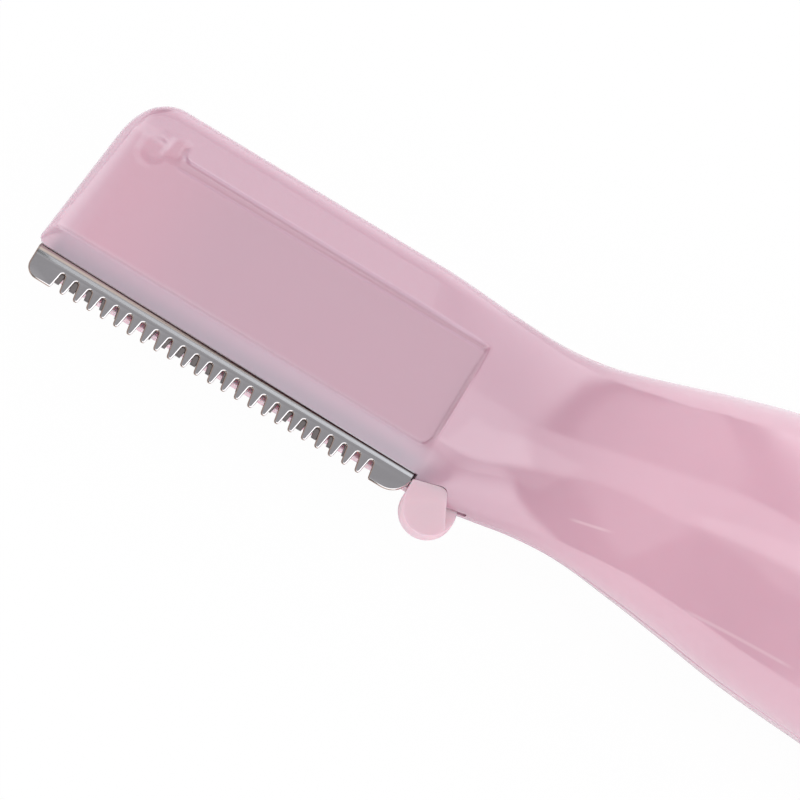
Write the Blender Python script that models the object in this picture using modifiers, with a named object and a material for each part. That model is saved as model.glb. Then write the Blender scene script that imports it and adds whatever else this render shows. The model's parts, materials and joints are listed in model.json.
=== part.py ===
"""Electric eyebrow trimmer: a pink two-shell handle with a flat head, a fixed steel comb and a moving cutter.

All sizes are in metres. X runs from the tip of the head to the tail, +Z faces the user, and the comb is on
the -Y side. Shapes are modelled about the handle's axis, and one empty lifts them so that the flat under the
handle lies on z = 0 with the origin at its centre.
"""

import math

import bmesh
import bpy
from mathutils import Matrix, Vector

# Clearances
RUN_GAP = 0.0001
FIT_GAP = 0.00015
SEAM_GAP = 0.0001
CUT_OVERRUN = 0.002

# Head
HEAD_LENGTH = 0.0275
HEAD_HEIGHT = 0.0141
HEAD_THICKNESS = 0.0047
HEAD_EDGE_ROUND = 0.001
HEAD_CORNER = 0.003
HEAD_TIP_SLANT = 0.0014
HEAD_TIP_LEAD = 0.0006
COMB_DROP = 0.0098
PANEL_STEP = 0.00025
PANEL_TOP = 0.0108
PANEL_EAR = 0.0019
PLATE_EDGE_HEIGHT = 0.00162
PLATE_LIP = 0.00025
BEVEL_HEIGHT = 0.0031
GROOVE_DEPTH = 0.00022
GROOVE_WIDE = 0.0006
GROOVE_NARROW = 0.00028
NOTCH_WIDTH = 0.0004
NOTCH_LENGTH = 0.0013
CHAMBER_FRONT = 0.00115
CHAMBER_BACK = 0.00125
CHAMBER_TOP = 0.01045

# Neck and handle
NECK_LENGTH = 0.0345
NECK_THICKNESS = 0.005
NECK_DEPTH = 0.0092
NECK_WAIST = 0.0015
GRIP_WIDTH = 0.0196
GRIP_THICKNESS = 0.0172
TAIL_WIDTH = 0.0158
TAIL_THICKNESS = 0.0152
SHELL_WALL = 0.0015
NECK_WALL = 0.0011
PAD_DEPTH = 0.0004
REST_SHIFT = 0.013
RIB = 0.0012

# Battery cap
CAP_LENGTH = 0.024
CAP_WALL = 0.0013
CAP_END_WALL = 0.0022
CAP_END_ROUND = 0.006
SPIGOT_LENGTH = 0.0062
SPIGOT_WALL = 0.0008

# Arm that carries the cutter, with its finger tab
PIVOT_SETBACK = 0.003
PIVOT_HEIGHT = 0.0107
PIVOT_PIN_RADIUS = 0.0006
PIVOT_HEAD_RADIUS = 0.00095
PIVOT_HEAD_RISE = 0.0004
ARM_SWING_DEG = 45.0
ARM_EYE_RADIUS = 0.00175
ARM_THICKNESS = 0.0011
ARM_EDGE_HEIGHT = 0.0007
ARM_TOP = 0.0101
ARM_END_GAP = 0.0005
ARM_HEEL_HEIGHT = 0.0022
TAB_SETBACK = 0.0017
TAB_HEIGHT = 0.0005
TAB_RADIUS = 0.0018
TAB_DISC_TOP = 0.0004
TAB_BLOCK_TOP = 0.0015
TAB_BAY_LENGTH = 0.0038
TAB_BAY_HEIGHT = 0.0052
TAIL_WAY_LENGTH = 0.0052
TAIL_WAY_SLANT = 0.001
TAIL_WAY_GAP = 0.0003
TAB_NOTCH_LENGTH = 0.0037
TAB_NOTCH_HEIGHT = 0.00178

# Comb
COMB_END_SETBACK = 0.0002
COMB_SHEET = 0.0002
COMB_ROOT_HEIGHT = 0.0054
COMB_ROOT_LEVEL = 0.00095
COMB_SLOPE_HEIGHT = 0.0021
COMB_BEND_HEIGHT = 0.0015
COMB_FACE_LEVEL = 0.00055
COMB_TEETH = 23
COMB_FIRST_TOOTH = 0.00275
COMB_LAST_TOOTH = 0.0031
COMB_SLOT_DEPTH = 0.00118
COMB_MOUTH_SHARE = 0.7
COMB_ROOT_SHARE = 0.185
COMB_TIP_CORNER = 0.0009
COMB_HEEL_CORNER = 0.0015
RIVET_RADIUS = 0.0005
RIVET_HEAD_RADIUS = 0.0008
RIVET_HEAD = 0.0002
RIVET_LENGTH = 0.0007
RIVET_HEIGHT = 0.0046

# Moving cutter
CUTTER_SHEET = 0.0003
CUTTER_LEVEL = 0.0002
CUTTER_INSET = 0.0009
CUTTER_TOP = 0.0058
CUTTER_TIP_HEIGHT = 0.00035
CUTTER_TOOTH_DEPTH = 0.00115
CUTTER_TEETH = 23
CUTTER_PITCH_SHARE = 1.122
CUTTER_TIP_SHARE = 0.33
CUTTER_ROOT_SHARE = 0.64
CUTTER_TAIL_HEIGHT = 0.0022
CUTTER_TAIL_BASE = 0.00248
CUTTER_TAIL_END = 0.0015
CUTTER_STROKE = 0.00039
GUIDE_PEG_RADIUS = 0.0007
GUIDE_PEG_TOP = 0.00038
GUIDE_PEG_HEIGHT = 0.0042

# Drive lever
LEVER_SETBACK = 0.0027
LEVER_AXIS_HEIGHT = 0.0086
LEVER_INPUT = 0.011
LEVER_PEG_HEIGHT = 0.0033
LEVER_PEG_RADIUS = 0.00045
LEVER_PEG_TOP = 0.00075
LEVER_TIP_RADIUS = 0.0007
LEVER_HUB_RADIUS = 0.0014
LEVER_HUB_TOP = 0.0009
LEVER_BOTTOM = 0.001
LEVER_PLATE = 0.0008
LEVER_ARM_WIDTH = 0.0016
LEVER_PIN_RADIUS = 0.0006
LEVER_PIN_LENGTH = 0.004
NOTCH_LEAD = 0.0003
FORK_LENGTH = 0.0024
FORK_BRIDGE = 0.0012
FORK_WALL = 0.0008
FORK_HEIGHT = 0.0032

# Eccentric and motor
CAM_THROW = 0.0008
CAM_PIN_RADIUS = 0.0005
CAM_RADIUS = 0.0022
CAM_THICKNESS = 0.0016
CAM_WEB = 0.0004
CAM_CLEARANCE = 0.0002
SHAFT_RADIUS = 0.0005
SHAFT_IN_MOTOR = 0.0064
MOTOR_RADIUS = 0.005
MOTOR_FLATS = 0.008
MOTOR_LENGTH = 0.015
MOTOR_STANDOFF = 0.0032
MOTOR_BOSS_RADIUS = 0.0017
MOTOR_BOSS_LENGTH = 0.001
MOTOR_END_LENGTH = 0.0025
MOTOR_RIB_PLACE = 0.0084
BULKHEAD = 0.0012
TERMINAL_WIDTH = 0.0016
TERMINAL_SHEET = 0.0004
TERMINAL_LENGTH = 0.002
TERMINAL_SPREAD = 0.0026

# Switch
SWITCH_BAY_LENGTH = 0.0165
KNOB_LENGTH = 0.0106
KNOB_WIDTH = 0.006
KNOB_HEIGHT = 0.0013
KNOB_ROUND = 0.0004
KNOB_RIBS = 5
KNOB_RIB_WIDTH = 0.0005
KNOB_RIB_RISE = 0.00025
KNOB_RIB_PITCH = 0.0012
KNOB_RIB_LENGTH = 0.0036
SWITCH_TRAVEL = 0.0035
RECESS_DEPTH = 0.0006
RECESS_MARGIN = 0.0005
STEM_LENGTH = 0.003
STEM_WIDTH = 0.0024
SLIDER_LENGTH = 0.008
SLIDER_WIDTH = 0.005
SLIDER_THICKNESS = 0.0008
SLIDER_DROP = 0.0006
BRIDGE_SHEET = 0.0003
BRIDGE_WIDTH = 0.0016
BRIDGE_LENGTH = 0.0066
BRIDGE_DIP = 0.0004
STRIP_SHEET = 0.0003
STRIP_WIDTH = 0.004
STRIP_GAP = 0.0008
MOTOR_STRIP_LENGTH = 0.0038
BOARD_THICKNESS = 0.0009
BOARD_END_GAP = 0.0004
POSITIVE_DROP = 0.0075

# Battery
CELL_RADIUS = 0.00525
CELL_LENGTH = 0.0437
CELL_NUB_RADIUS = 0.0019
CELL_NUB = 0.0008
CELL_EDGE_ROUND = 0.0004
CELL_BORE_GAP = 0.0002
CELL_RIB_PLACE = 0.013
SPRING_RADIUS = 0.0032
SPRING_WIRE = 0.0003
SPRING_LENGTH = 0.0041
SPRING_TURNS = 3
SPRING_TURN_POINTS = 12
CAP_PLATE_SHEET = 0.0003
CAP_PLATE_RADIUS = 0.0045
CAP_LEG_WIDTH = 0.0022
CAP_LEG_LAP = 0.004
NEGATIVE_SHEET = 0.00025
NEGATIVE_WIDTH = 0.0022
NEGATIVE_LEAD_IN = 0.004

# Lead wires and screws
LEAD_RADIUS = 0.00045
SCREW_RADIUS = 0.0008
SCREW_HEAD_RADIUS = 0.0016
SCREW_HEAD = 0.0009
SCREW_GAP = 0.0002
SCREW_BOSS_RADIUS = 0.0018
SCREW_BOSS_WALL = 0.0006
SCREW_BITE = 0.0026
SCREW_SEAT = 0.0041
SCREW_SLOT_WIDTH = 0.0004
SCREW_SLOT_DEPTH = 0.0004
GRIP_SCREW_LEAD = 0.0055

# Resolution, and how much larger a curve is drawn while Blender fills it, since it merges close points
DRAWING_SCALE = 1000
# Faces that meet at less than this angle, in radians, are one flat face
FLAT_ANGLE = 0.001
CORNER_POINTS = 7
ROUND_SEGMENTS = 24
FINE_SEGMENTS = 16

# Places along X, worked out from the lengths above
COMB_LENGTH = HEAD_LENGTH - COMB_END_SETBACK
COMB_PITCH = (COMB_LENGTH - COMB_FIRST_TOOTH - COMB_LAST_TOOTH) / (COMB_TEETH - 1)
CUTTER_PITCH = CUTTER_PITCH_SHARE * COMB_PITCH
LEVER_X = HEAD_LENGTH + LEVER_SETBACK
CAM_PIN_X = LEVER_X + LEVER_INPUT
FORK_REAR_X = CAM_PIN_X + FORK_LENGTH / 2
FORK_FRONT_X = CAM_PIN_X - FORK_LENGTH / 2
CAM_FRONT_X = FORK_REAR_X + 2 * CAM_CLEARANCE
CAM_REAR_X = CAM_FRONT_X + CAM_THICKNESS
MOTOR_X = CAM_REAR_X + MOTOR_STANDOFF
BULKHEAD_REAR_X = MOTOR_X - CAM_CLEARANCE
BULKHEAD_FRONT_X = BULKHEAD_REAR_X - BULKHEAD
MOTOR_REAR_X = MOTOR_X + MOTOR_LENGTH
MOTOR_END_X = MOTOR_REAR_X + RUN_GAP + MOTOR_END_LENGTH
TERMINAL_END_X = MOTOR_END_X + TERMINAL_LENGTH
SEAT_FRONT_X = TERMINAL_END_X + SWITCH_BAY_LENGTH
SEAT_REAR_X = SEAT_FRONT_X + RIB
POSITIVE_X = SEAT_REAR_X + RUN_GAP
NUB_X = POSITIVE_X + STRIP_SHEET + FIT_GAP
CELL_X = NUB_X + CELL_NUB
CELL_END_X = CELL_X + CELL_LENGTH
SPRING_X = CELL_END_X + FIT_GAP + SPRING_WIRE
SPRING_END_X = SPRING_X + SPRING_LENGTH - 2 * SPRING_WIRE
CAP_PLATE_X = SPRING_END_X + SPRING_WIRE + RUN_GAP
CAP_INNER_X = CAP_PLATE_X + CAP_PLATE_SHEET + RUN_GAP
TAIL_X = CAP_INNER_X + CAP_END_WALL
SPLIT_X = TAIL_X - CAP_LENGTH
SPIGOT_END_X = SPLIT_X + SPIGOT_LENGTH
NECK_END_X = HEAD_LENGTH + NECK_LENGTH
KNOB_X = (TERMINAL_END_X + SEAT_FRONT_X) / 2 + SWITCH_TRAVEL / 2

# Heights, where z = 0 is the parting plane and y = 0 the handle's axis
COMB_TIP_Y = -COMB_DROP
DRIVE_Y = COMB_TIP_Y + LEVER_AXIS_HEIGHT
PAD_Z = -(GRIP_THICKNESS / 2 - PAD_DEPTH)
RECESS_Z = GRIP_THICKNESS / 2 - RECESS_DEPTH
PANEL_Z = HEAD_THICKNESS / 2 - PANEL_STEP

# How far the switch board and the screws beside it reach from the middle
BOARD_SIDE = SLIDER_WIDTH / 2 + RIB
SCREW_SIDE = BOARD_SIDE + SCREW_BOSS_RADIUS + SCREW_GAP

# Where the neck's outline lies between the head's and the grip's: place along the neck, back edge, comb
# edge, waist, thickness, corner across the width, and corner through the thickness, all as shares
NECK_SHARES = (
    (0.000, 0.000, 0.00, 0.00, 0.000, 0.18, 0.45),
    (0.119, -0.006, 0.00, 0.463, 0.055, 0.34, 0.70),
    (0.206, 0.073, 0.04, 0.838, 0.139, 0.53, 0.85),
    (0.293, 0.242, 0.10, 0.989, 0.279, 0.72, 0.94),
    (0.409, 0.480, 0.25, 0.870, 0.492, 0.86, 0.98),
    (0.525, 0.700, 0.45, 0.635, 0.672, 0.93, 0.98),
    (0.670, 0.882, 0.70, 0.300, 0.836, 0.97, 0.98),
    (0.843, 0.976, 0.90, 0.115, 0.951, 0.98, 0.98),
    (1.000, 1.000, 1.00, 0.000, 1.000, 0.98, 0.98),
)
# How far the grip has tapered from its full size to the tail's: place, share
TAPER_SHARES = ((0.0, 0.0), (0.18, 0.0), (0.44, 0.24), (0.68, 0.58), (0.90, 0.94), (1.0, 1.0))
TIP_RING_SHARES = (0.0, 0.12, 0.33, 0.62, 1.0)
HEAD_RING_SHARES = (0.45, 0.85, 1.0)
NECK_RING_SHARES = (0.06, 0.119, 0.162, 0.206, 0.25, 0.293, 0.35, 0.409, 0.467, 0.525, 0.597, 0.67, 0.756,
                    0.843)
GRIP_RING_SHARES = (0.0, 0.18, 0.36, 0.52, 0.68, 0.84, 1.0)
CAP_RING_SHARES = (0.0, 0.3, 0.6, 1.0)
CAP_END_ANGLES_DEG = (18.0, 36.0, 54.0, 72.0, 90.0)
CAP_END_SHARE = 0.42
# The finger tab's raised block, about the middle of its disc, and the notch over it in the front shell
TAB_BLOCK_SHARES = ((-0.93, 0.3), (-0.86, 0.5), (-0.7, 0.64), (0.0, 0.68), (0.22, 0.6), (0.33, 0.42),
                    (0.62, -0.18), (0.66, -0.45), (0.5, -0.8), (0.1, -0.95), (-0.35, -0.9), (-0.72, -0.64),
                    (-0.92, -0.3))
TAB_NOTCH_SHARES = ((0.0, 1.0), (0.57, 1.0), (0.86, 0.84), (1.0, 0.42))
GUIDE_PEG_SHARES = (0.25, 0.75)
RIVET_SHARES = (0.13, 0.87)
ARM_SHOULDER_SHARE = 0.28


def clear_scene():
    """Removes what Blender starts with."""
    for obj in list(bpy.data.objects):
        bpy.data.objects.remove(obj, do_unlink=True)


def make_material(name, colour, roughness, metallic=0.0):
    """A Principled material with the part's colour, roughness and metallic value."""
    material = bpy.data.materials.new(name)
    material.use_nodes = True
    shader = material.node_tree.nodes["Principled BSDF"]
    shader.inputs["Base Color"].default_value = (*colour, 1.0)
    shader.inputs["Roughness"].default_value = roughness
    shader.inputs["Metallic"].default_value = metallic
    return material


def make_collection(name):
    """A collection linked to the scene."""
    collection = bpy.data.collections.new(name)
    bpy.context.scene.collection.children.link(collection)
    return collection


def height(value):
    """The y of a height above the comb's tooth tips."""
    return COMB_TIP_Y + value


def mesh_from_bmesh(name, shape):
    """Turns a bmesh into a mesh with its faces pointing out."""
    bmesh.ops.recalc_face_normals(shape, faces=shape.faces)
    mesh = bpy.data.meshes.new(name)
    shape.to_mesh(mesh)
    shape.free()
    return mesh


def box_mesh(name, low, high):
    """A box between two corners."""
    shape = bmesh.new()
    bmesh.ops.create_cube(shape, size=1.0)
    size = Vector(high) - Vector(low)
    centre = (Vector(high) + Vector(low)) / 2
    bmesh.ops.scale(shape, vec=size, verts=shape.verts)
    bmesh.ops.translate(shape, vec=centre, verts=shape.verts)
    return mesh_from_bmesh(name, shape)


def rod_mesh(name, radius, start, end, segments=ROUND_SEGMENTS):
    """A cylinder from one point to another."""
    start, end = Vector(start), Vector(end)
    along = end - start
    turn = Vector((0, 0, 1)).rotation_difference(along).to_matrix().to_4x4()
    place = Matrix.Translation((start + end) / 2) @ turn
    shape = bmesh.new()
    bmesh.ops.create_cone(
        shape, cap_ends=True, segments=segments, radius1=radius, radius2=radius, depth=along.length,
                          matrix=place
    )
    return mesh_from_bmesh(name, shape)


def arc(centre, radius, start_deg, end_deg, steps):
    """Points on an arc in a plane, from one angle to another."""
    angles = [math.radians(start_deg + (end_deg - start_deg) * i / steps) for i in range(steps + 1)]
    return [(centre[0] + radius * math.cos(a), centre[1] + radius * math.sin(a)) for a in angles]


def stadium(centre, length, width, steps=6):
    """An outline with round ends, lying along X."""
    reach = (length - width) / 2
    right = arc((centre[0] + reach, centre[1]), width / 2, -90, 90, steps)
    left = arc((centre[0] - reach, centre[1]), width / 2, 90, 270, steps)
    return right + left


def outline_mesh(name, points, thickness, place):
    """A flat outline as a filled 2D curve, extruded about its plane to a thickness and placed by a matrix."""
    curve = bpy.data.curves.new(name, "CURVE")
    curve.dimensions = "2D"
    curve.fill_mode = "BOTH"
    curve.extrude = thickness / 2 * DRAWING_SCALE
    spline = curve.splines.new("POLY")
    spline.points.add(len(points) - 1)
    for point, (across, up) in zip(spline.points, points):
        point.co = (across * DRAWING_SCALE, up * DRAWING_SCALE, 0, 1)
    spline.use_cyclic_u = True
    holder = bpy.data.objects.new(name, curve)
    bpy.context.scene.collection.objects.link(holder)
    evaluated = holder.evaluated_get(bpy.context.evaluated_depsgraph_get())
    mesh = bpy.data.meshes.new_from_object(evaluated)
    bpy.data.objects.remove(holder)
    bpy.data.curves.remove(curve)
    shape = bmesh.new()
    shape.from_mesh(mesh)
    bpy.data.meshes.remove(mesh)
    bmesh.ops.remove_doubles(shape, verts=shape.verts, dist=RUN_GAP / 100 * DRAWING_SCALE)
    bmesh.ops.recalc_face_normals(shape, faces=shape.faces)
    bmesh.ops.dissolve_limit(shape, angle_limit=FLAT_ANGLE, verts=shape.verts, edges=shape.edges)
    bmesh.ops.scale(shape, vec=Vector((1, 1, 1)) / DRAWING_SCALE, verts=shape.verts)
    bmesh.ops.transform(shape, matrix=place, verts=shape.verts)
    return mesh_from_bmesh(name, shape)


def plate_mesh(name, points, low_z, high_z):
    """An outline in X and Y between two heights."""
    return outline_mesh(name, points, high_z - low_z, Matrix.Translation((0, 0, (low_z + high_z) / 2)))


def side_profile_mesh(name, points, low_y, high_y):
    """An outline in X and Z, between two places across Y."""
    turn = Matrix.Rotation(math.radians(90), 4, "X")
    return outline_mesh(name, points, high_y - low_y,
                        Matrix.Translation((0, (low_y + high_y) / 2, 0)) @ turn)


def end_profile_mesh(name, points, low_x, high_x):
    """An outline in Y and Z, between two places along X."""
    axes = Matrix(((0, 0, 1, 0), (1, 0, 0, 0), (0, 1, 0, 0), (0, 0, 0, 1)))
    return outline_mesh(name, points, high_x - low_x,
                        Matrix.Translation(((low_x + high_x) / 2, 0, 0)) @ axes)


def turned_mesh(name, profile, segments=ROUND_SEGMENTS, centre_y=0.0):
    """A solid turned about the X axis from (x, radius) points, through a Screw modifier."""
    mesh = bpy.data.meshes.new(name)
    mesh.from_pydata([(x, radius, 0) for x, radius in profile],
                     [(i, i + 1) for i in range(len(profile) - 1)], [])
    holder = bpy.data.objects.new(name, mesh)
    bpy.context.scene.collection.objects.link(holder)
    screw = holder.modifiers.new("Screw", "SCREW")
    screw.axis = "X"
    screw.steps = segments
    screw.render_steps = segments
    screw.use_merge_vertices = True
    screw.merge_threshold = RUN_GAP / 100
    evaluated = holder.evaluated_get(bpy.context.evaluated_depsgraph_get())
    turned = bpy.data.meshes.new_from_object(evaluated)
    bpy.data.objects.remove(holder)
    shape = bmesh.new()
    shape.from_mesh(turned)
    bmesh.ops.remove_doubles(shape, verts=shape.verts, dist=RUN_GAP / 100)
    bmesh.ops.translate(shape, vec=(0, centre_y, 0), verts=shape.verts)
    return mesh_from_bmesh(name, shape)


def eased(rows, place, column):
    """A smooth value from a table, by a cubic through the rows on either side of a place."""
    last = len(rows) - 1
    i = max(j for j in range(last) if place >= rows[j][0] or j == 0)

    def slope(k):
        low, high = max(k - 1, 0), min(k + 1, last)
        return (rows[high][column] - rows[low][column]) / (rows[high][0] - rows[low][0])

    span = rows[i + 1][0] - rows[i][0]
    t = (place - rows[i][0]) / span
    start, end = rows[i][column], rows[i + 1][column]
    flat_start = 0.0 if i == 0 else slope(i)
    flat_end = 0.0 if i + 1 == last else slope(i + 1)
    return (
        (2 * t**3 - 3 * t**2 + 1) * start
        + (t**3 - 2 * t**2 + t) * span * flat_start
        + (3 * t**2 - 2 * t**3) * end
        + (t**3 - t**2) * span * flat_end
    )


def mix(start, end, share):
    """A value part of the way from one to another."""
    return start + (end - start) * share


def section(x):
    """The outer outline at a place along X: low y, high y, half thickness, and its corners' two radii."""
    head_back = height(HEAD_HEIGHT)
    grip_half = GRIP_WIDTH / 2
    if x < HEAD_LENGTH:
        round_x = min(max(x, 0.0), HEAD_CORNER)
        drop = HEAD_CORNER - math.sqrt(max(HEAD_CORNER**2 - (HEAD_CORNER - round_x) ** 2, 0.0))
        edge_x = min(max(x, 0.0), HEAD_EDGE_ROUND)
        thin = HEAD_EDGE_ROUND - math.sqrt(max(HEAD_EDGE_ROUND**2 - (HEAD_EDGE_ROUND - edge_x) ** 2, 0.0))
        half = mix(HEAD_THICKNESS, NECK_THICKNESS, (x / HEAD_LENGTH) ** 3) / 2 - thin
        corner = mix(HEAD_EDGE_ROUND, NECK_SHARES[0][5] * (head_back + NECK_DEPTH) / 2, x / HEAD_LENGTH)
        edge = mix(HEAD_EDGE_ROUND, NECK_SHARES[0][6] * NECK_THICKNESS / 2, x / HEAD_LENGTH)
        return -NECK_DEPTH, head_back - drop, half, corner, min(edge, half * NECK_SHARES[-1][6])
    if x < NECK_END_X:
        place = (x - HEAD_LENGTH) / NECK_LENGTH
        back, comb, waist, thick, corner, edge = (eased(NECK_SHARES, place, c) for c in range(1, 7))
        low = -(mix(NECK_DEPTH, grip_half, comb) - waist * NECK_WAIST)
        high = mix(head_back, grip_half, back)
        half = mix(NECK_THICKNESS, GRIP_THICKNESS, thick) / 2
        return low, high, half, corner * (high - low) / 2, edge * half
    taper = eased(TAPER_SHARES, min((x - NECK_END_X) / (TAIL_X - NECK_END_X), 1.0), 1)
    across = mix(GRIP_WIDTH, TAIL_WIDTH, taper) / 2
    half = mix(GRIP_THICKNESS, TAIL_THICKNESS, taper) / 2
    return -across, across, half, NECK_SHARES[-1][5] * across, NECK_SHARES[-1][6] * half


def ring(x, wall=0.0, shrink=1.0):
    """The points of one outline, drawn in by a wall and scaled about its middle."""
    low, high, half, corner_y, corner_z = section(x)
    middle = (low + high) / 2
    across = ((high - low) / 2 - wall) * shrink
    deep = (half - wall) * shrink
    share_y = corner_y / ((high - low) / 2)
    share_z = corner_z / half
    if wall:
        share_y = max(share_y, HEAD_EDGE_ROUND / ((high - low) / 2))
    corner_y, corner_z = share_y * across, share_z * deep
    points = []
    for turn, (side_y, side_z) in enumerate(((1, 1), (-1, 1), (-1, -1), (1, -1))):
        for i in range(CORNER_POINTS):
            angle = math.radians(90 * (turn + i / (CORNER_POINTS - 1)))
            y = middle + side_y * (across - corner_y) + corner_y * math.cos(angle)
            z = side_z * (deep - corner_z) + corner_z * math.sin(angle)
            slant = HEAD_TIP_SLANT * (y - height(0)) / HEAD_HEIGHT - HEAD_TIP_LEAD
            points.append((x + slant * max(1 - x / (2 * HEAD_CORNER), 0.0), y, z))
    return points


def loft_mesh(name, rings):
    """Skins a row of outlines that differ from one another, and closes both ends."""
    shape = bmesh.new()
    rows = [[shape.verts.new(point) for point in points] for points in rings]
    for first, second in zip(rows, rows[1:]):
        for i in range(len(first)):
            j = (i + 1) % len(first)
            shape.faces.new((first[i], first[j], second[j], second[i]))
    shape.faces.new(rows[0])
    shape.faces.new(rows[-1])
    bmesh.ops.triangulate(shape, faces=shape.faces)
    return mesh_from_bmesh(name, shape)


def body_places():
    """Where the outer outlines of the head, neck and grip stand along X."""
    tip = [HEAD_CORNER * share for share in TIP_RING_SHARES]
    head = [HEAD_LENGTH * share for share in HEAD_RING_SHARES]
    neck = [HEAD_LENGTH + NECK_LENGTH * share for share in NECK_RING_SHARES]
    grip = [mix(NECK_END_X, SPLIT_X, share) for share in GRIP_RING_SHARES]
    return tip + head + neck + grip


def cavity_mesh(name, start, end, wall, start_wall=None):
    """The hollow between two places, as far inside the outer outline as its wall."""
    inside = [place for place in body_places() if start < place < end]
    walls = [wall] * (len(inside) + 2)
    if start_wall is not None:
        walls = [mix(start_wall, wall, i / (len(walls) - 1)) for i in range(len(walls))]
    return loft_mesh(name, [ring(place, w) for place, w in zip([start, *inside, end], walls)])


class Workshop:
    """Adds the trimmer's parts and cutters to the scene."""

    def __init__(self):
        self.parts = make_collection("eyebrow_trimmer")
        self.cutters = make_collection("cutters")
        self.origin = bpy.data.objects.new("trimmer_origin", None)
        self.parts.objects.link(self.origin)
        self.origin.location = (-(NECK_END_X + REST_SHIFT), 0, -PAD_Z)

    def pivot(self, name, place):
        """An empty on a joint's axis, whose children are modelled from the tip of the head."""
        empty = bpy.data.objects.new(name, None)
        self.parts.objects.link(empty)
        empty.parent = self.origin
        empty.location = place
        return empty

    def part(self, name, mesh, material, pivot=None, smooth_deg=30.0):
        """One named sub-part of the trimmer."""
        obj = bpy.data.objects.new(name, mesh)
        mesh.materials.clear()
        mesh.materials.append(material)
        mesh.shade_smooth()
        mesh.set_sharp_from_angle(angle=math.radians(smooth_deg))
        self.parts.objects.link(obj)
        obj.parent = pivot or self.origin
        if pivot:
            mesh.transform(Matrix.Translation(-pivot.location))
        return obj

    def cutter(self, name, mesh, pivot=None):
        """A shape that only cuts or joins others."""
        obj = bpy.data.objects.new(name, mesh)
        self.cutters.objects.link(obj)
        obj.parent = pivot or self.origin
        if pivot:
            mesh.transform(Matrix.Translation(-pivot.location))
        obj.hide_render = True
        obj.display_type = "WIRE"
        return obj


def combine(target, tool, operation):
    """Leaves a Boolean modifier on the target."""
    modifier = target.modifiers.new(tool.name, "BOOLEAN")
    modifier.operation = operation
    modifier.object = tool
    modifier.solver = "EXACT"
    return target


def cut(target, *tools):
    """Takes each tool's shape out of the target."""
    for tool in tools:
        combine(target, tool, "DIFFERENCE")
    return target


def join(target, *tools):
    """Makes each tool's shape one body with the target."""
    for tool in tools:
        combine(target, tool, "UNION")
    return target


def bevel(target, width, segments=2, limit_deg=30.0):
    """Rounds the sharp edges of a part."""
    modifier = target.modifiers.new("Bevel", "BEVEL")
    modifier.width = width
    modifier.segments = segments
    modifier.limit_method = "ANGLE"
    modifier.angle_limit = math.radians(limit_deg)
    return target


def seam_cutters(w):
    """The half spaces that leave the front or the back half of the housing."""
    low = (-CUT_OVERRUN, -GRIP_WIDTH, -GRIP_THICKNESS)
    high = (TAIL_X, GRIP_WIDTH, SEAM_GAP / 2)
    behind = w.cutter("behind_seam", box_mesh("behind_seam", low, high))
    low = (-CUT_OVERRUN, -GRIP_WIDTH, -SEAM_GAP / 2)
    high = (TAIL_X, GRIP_WIDTH, GRIP_THICKNESS)
    before = w.cutter("before_seam", box_mesh("before_seam", low, high))
    return behind, before


def hollow_cutters(w):
    """The compartments inside the housing, with solid walls left between them."""
    lever_bay_x = LEVER_X - LEVER_HUB_RADIUS - 4 * RUN_GAP
    motor_rib_x = MOTOR_X + MOTOR_RIB_PLACE
    cell_rib_x = SEAT_REAR_X + CELL_RIB_PLACE
    spans = (
        ("lever_bay", lever_bay_x, BULKHEAD_FRONT_X, NECK_WALL),
        ("motor_bay", BULKHEAD_REAR_X, motor_rib_x, SHELL_WALL),
        ("switch_bay", motor_rib_x + RIB, SEAT_FRONT_X, SHELL_WALL),
        ("cell_bay", SEAT_REAR_X, cell_rib_x, SHELL_WALL),
    )
    tools = [w.cutter(name, cavity_mesh(name, start, end, wall)) for name, start, end, wall in spans]
    spigot_wall = CAP_WALL + FIT_GAP + SPIGOT_WALL
    start = cell_rib_x + RIB
    places = [start, *(x for x in body_places() if start < x < SPLIT_X), SPLIT_X,
              SPIGOT_END_X + CUT_OVERRUN]
    rings = [ring(x, spigot_wall) for x in places]
    tools.append(w.cutter("cap_end_bay", loft_mesh("cap_end_bay", rings)))
    return tools


def head_cutters(w):
    """The chamber in the head for the arm, and the way out for the arm's heel and the cutter's tail."""
    front, back = CHAMBER_FRONT, -CHAMBER_BACK
    below = height(0) - CUT_OVERRUN
    chamber = box_mesh("chamber", (-CUT_OVERRUN, below, back), (HEAD_LENGTH, height(CHAMBER_TOP), front))
    bay_high = (HEAD_LENGTH + TAB_BAY_LENGTH, height(TAB_BAY_HEIGHT), front)
    bay = box_mesh("tab_bay", (HEAD_LENGTH - RIB, below, back), bay_high)
    end, tail_base = HEAD_LENGTH + TAIL_WAY_LENGTH, height(CUTTER_TAIL_BASE)
    outline = ((HEAD_LENGTH, below), (end - TAIL_WAY_SLANT, below), (end - TAIL_WAY_SLANT, height(0)),
               (end, tail_base), (end, bay_high[1]), (HEAD_LENGTH, bay_high[1]))
    tail_way = plate_mesh("tail_way", outline, CUTTER_LEVEL - TAIL_WAY_GAP,
                          CUTTER_LEVEL + CUTTER_SHEET + TAIL_WAY_GAP)
    eye = (PIVOT_SETBACK, height(PIVOT_HEIGHT))
    pocket = rod_mesh("eye_pocket", ARM_EYE_RADIUS + FIT_GAP, (*eye, back), (*eye, front))
    tip_high = (eye[0], eye[1] + (ARM_EYE_RADIUS + FIT_GAP) * math.sin(math.radians(ARM_SWING_DEG)), front)
    mouth = box_mesh("tip_mouth", (-CUT_OVERRUN, below, back), tip_high)
    edge_high = (HEAD_LENGTH, height(PLATE_EDGE_HEIGHT), GRIP_THICKNESS)
    edge = box_mesh("plate_edge", (-CUT_OVERRUN, below, -GRIP_THICKNESS), edge_high)
    return [w.cutter(mesh.name, mesh) for mesh in (chamber, bay, tail_way, pocket, mouth, edge)]


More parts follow.
